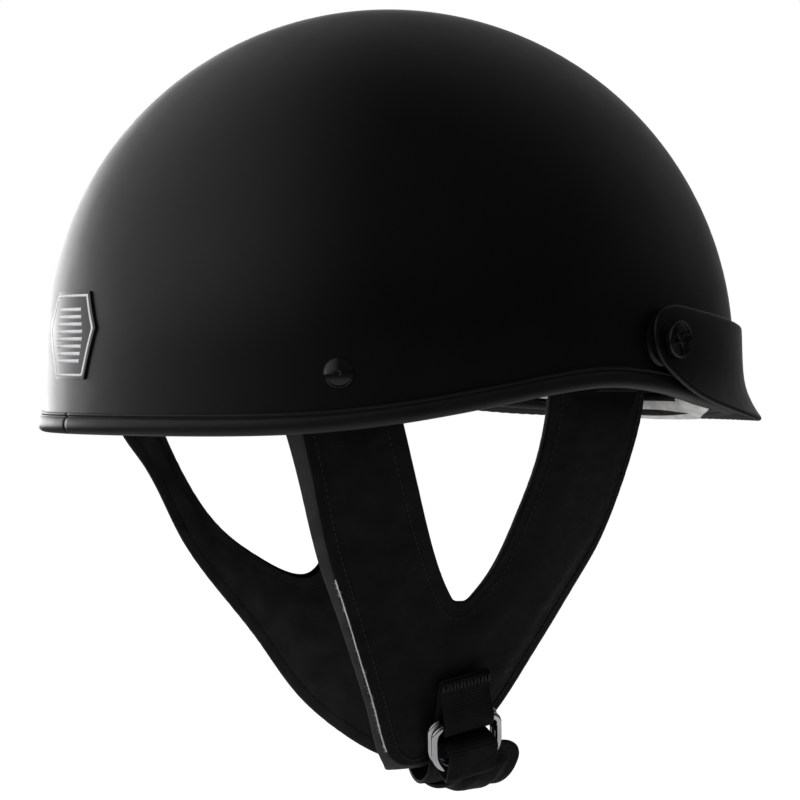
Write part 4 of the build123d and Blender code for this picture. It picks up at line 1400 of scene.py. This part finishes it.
for name in ("inner_d_ring", "outer_d_ring"):
    nodes[name].data.materials.clear()
    nodes[name].data.materials.append(looks["chrome"])
for name, look in (("impact_liner", "foam"), ("pad_hook_discs", "hook"), ("rear_badge", "gloss"),
                   ("rear_anchor_plates", "zinc"), ("front_anchor_plates", "zinc"),
                   ("visor_posts", "zinc"), ("visor_bosses", "boss")):
    nodes[name].data.materials.clear()
    nodes[name].data.materials.append(looks[look])

# Studio: a pale floor, soft light, and the photograph's view

studio = {"floorDrop": 0.06, "diffuse": 0.5, "key": 1.5, "brightest": 6.0}


def studioWorld():
    world = bpy.data.worlds.new("studio")
    scene.world = world
    world.use_nodes = True
    tree = world.node_tree
    tree.nodes.clear()
    way = addNode(tree, "ShaderNodeTexCoord").outputs["Generated"]
    away = addNode(tree, "ShaderNodeVectorMath", {0: way, 1: (0.848, -0.530, 0)}, operation="DOT_PRODUCT")
    left = addNode(tree, "ShaderNodeVectorMath", {0: way, 1: (0.530, 0.848, 0)}, operation="DOT_PRODUCT")
    back = addNode(tree, "ShaderNodeMath", {0: away.outputs["Value"], 1: -1.0}, operation="MULTIPLY")
    turn = addNode(tree, "ShaderNodeMath", {0: left.outputs["Value"], 1: back.outputs["Value"]},
                   operation="ARCTAN2")
    share = addNode(tree, "ShaderNodeMapRange", {"Value": turn.outputs["Value"], "From Min": -math.pi,
                                                 "From Max": math.pi})
    ramp = addNode(tree, "ShaderNodeValToRGB", {"Fac": share.outputs["Result"]})
    stops = [(-180, 3.2), (-172, 1.0), (-160, 0.2), (-140, 0.06), (-130, 0.04), (-100, 0.012), (-40, 0.006),
             (0, 0.012), (30, 0.10), (67, 0.5), (89, 0.95), (116, 1.6), (129, 2.8), (139, 4.6), (150, 6.0),
             (172, 6.0), (180, 3.2)]
    elements = ramp.color_ramp.elements
    while len(elements) < len(stops):
        elements.new(0.5)
    for element, (degrees, value) in zip(elements, stops):
        element.position = (degrees + 180) / 360
        element.color = (*[value / studio["brightest"]] * 3, 1)
    height = addNode(tree, "ShaderNodeSeparateXYZ", {"Vector": way}).outputs["Z"]
    rise = addNode(tree, "ShaderNodeMapRange", {"Value": height, "From Min": 0.0, "From Max": 0.4},
                   interpolation_type="SMOOTHSTEP")
    bright = addNode(tree, "ShaderNodeVectorMath", {0: ramp.outputs["Color"]}, operation="SCALE")
    bright.inputs["Scale"].default_value = studio["brightest"]
    ahead = addNode(tree, "ShaderNodeMath", {0: away.outputs["Value"], 1: 0.0}, operation="MAXIMUM")
    leftward = addNode(tree, "ShaderNodeMath", {0: left.outputs["Value"], 1: 0.0}, operation="MAXIMUM")
    sides = addNode(tree, "ShaderNodeMath", {0: leftward.outputs["Value"], 1: 0.75, 2: 0.03},
                    operation="MULTIPLY_ADD")
    top = addNode(tree, "ShaderNodeMath", {0: ahead.outputs["Value"], 1: 0.2, 2: sides.outputs["Value"]},
                  operation="MULTIPLY_ADD")
    mixed = addNode(tree, "ShaderNodeMix", {0: rise.outputs["Result"]}, data_type="RGBA")
    tree.links.new(bright.outputs["Vector"], mixed.inputs[6])
    tree.links.new(top.outputs["Value"], mixed.inputs[7])
    soft = addNode(tree, "ShaderNodeBackground", {"Color": (1, 1, 1, 1), "Strength": studio["diffuse"]})
    room = addNode(tree, "ShaderNodeBackground", {"Color": mixed.outputs[2], "Strength": 1.0})
    plain = addNode(tree, "ShaderNodeBackground", {"Color": (1, 1, 1, 1), "Strength": 1.0})
    rays = addNode(tree, "ShaderNodeLightPath")
    shiny = addNode(tree, "ShaderNodeMath",
                    {0: rays.outputs["Is Glossy Ray"], 1: rays.outputs["Is Transmission Ray"]},
                    operation="MAXIMUM")
    first = addNode(tree, "ShaderNodeMixShader", {0: shiny.outputs["Value"], 1: soft.outputs[0],
                                                  2: room.outputs[0]})
    second = addNode(tree, "ShaderNodeMixShader", {0: rays.outputs["Is Camera Ray"], 1: first.outputs[0],
                                                   2: plain.outputs[0]})
    addNode(tree, "ShaderNodeOutputWorld", {"Surface": second.outputs[0]})


def paleFloor():
    low = cadBox[0].z - studio["floorDrop"]
    rows, reach = 48, 2.6
    points = [(0, 0, low)]
    faces = []
    for ring in (0.2, 0.5, 1.0, reach):
        for step in range(rows):
            turn = math.tau * step / rows
            points.append((ring * math.cos(turn), ring * math.sin(turn), low))
    for step in range(rows):
        faces.append((0, 1 + step, 1 + (step + 1) % rows))
        for ring in range(3):
            a, b = 1 + ring * rows + step, 1 + ring * rows + (step + 1) % rows
            faces.append((a, a + rows, b + rows, b))
    floor = meshObject("floor", [(x / mm, y / mm, z / mm) for x, y, z in points], faces)
    look = bpy.data.materials.new("paleFloor")
    look.use_nodes = True
    tree = look.node_tree
    tree.nodes.clear()
    place = addNode(tree, "ShaderNodeTexCoord").outputs["Object"]
    flat = addNode(tree, "ShaderNodeVectorMath", {0: place, 1: (1, 1, 0)}, operation="MULTIPLY")
    distance = addNode(tree, "ShaderNodeVectorMath", {0: flat.outputs["Vector"]}, operation="LENGTH")
    # Shiny surfaces see the floor glow instead of its lit colour, brightest near the helmet and fading
    # outward: painted light, for the reflection along the trim's underside.
    fade = addNode(tree, "ShaderNodeMapRange", {"Value": distance.outputs["Value"], "From Min": 0.2,
                                                "From Max": 0.7,
                                                "To Min": 0.4, "To Max": 0.06},
                                                interpolation_type="SMOOTHSTEP")
    plain = addNode(tree, "ShaderNodeBsdfDiffuse", {"Color": (0.85, 0.85, 0.85, 1)})
    seen = addNode(tree, "ShaderNodeEmission", {"Color": (1, 1, 1, 1), "Strength": 0.62})
    shown = addNode(tree, "ShaderNodeAddShader", {0: seen.outputs[0], 1: addNode(
        tree, "ShaderNodeBsdfDiffuse", {"Color": (0.5, 0.5, 0.5, 1)}).outputs[0]})
    paintedGlow = addNode(tree, "ShaderNodeEmission", {"Color": (1, 1, 1, 1), "Strength": fade.outputs["Result"]})
    rays = addNode(tree, "ShaderNodeLightPath")
    shiny = addNode(tree, "ShaderNodeMath",
                    {0: rays.outputs["Is Glossy Ray"], 1: rays.outputs["Is Transmission Ray"]},
                    operation="MAXIMUM")
    first = addNode(tree, "ShaderNodeMixShader", {0: shiny.outputs["Value"], 1: plain.outputs[0],
                                                  2: paintedGlow.outputs[0]})
    second = addNode(tree, "ShaderNodeMixShader", {0: rays.outputs["Is Camera Ray"], 1: first.outputs[0],
                                                   2: shown.outputs[0]})
    addNode(tree, "ShaderNodeOutputMaterial", {"Surface": second.outputs[0]})
    floor.data.materials.append(look)


def keyLamp():
    lamp = bpy.data.lights.new("softKey", "SUN")
    lamp.energy = studio["key"]
    lamp.angle = math.radians(50)
    holder = bpy.data.objects.new("softKey", lamp)
    scene.collection.objects.link(holder)
    holder.rotation_mode = "QUATERNION"
    holder.rotation_quaternion = Vector((0.35, -0.62, -0.85)).to_track_quat("-Z", "Y")
    holder.visible_glossy = False


def photoCamera():
    camera = bpy.data.objects.new("camera", bpy.data.cameras.new("camera"))
    scene.collection.objects.link(camera)
    scene.camera = camera
    camera.location = (-0.9349, 0.5818, 0.0245)
    camera.rotation_mode = "QUATERNION"
    camera.rotation_quaternion = Vector((0.848, -0.530,
                                         -math.tan(math.radians(0.69)))).to_track_quat("-Z", "Y")
    camera.data.lens = 130.7
    camera.data.sensor_width = 36


studioWorld()
paleFloor()
keyLamp()
photoCamera()
scene.view_settings.view_transform = "Standard"
print("scene ready")
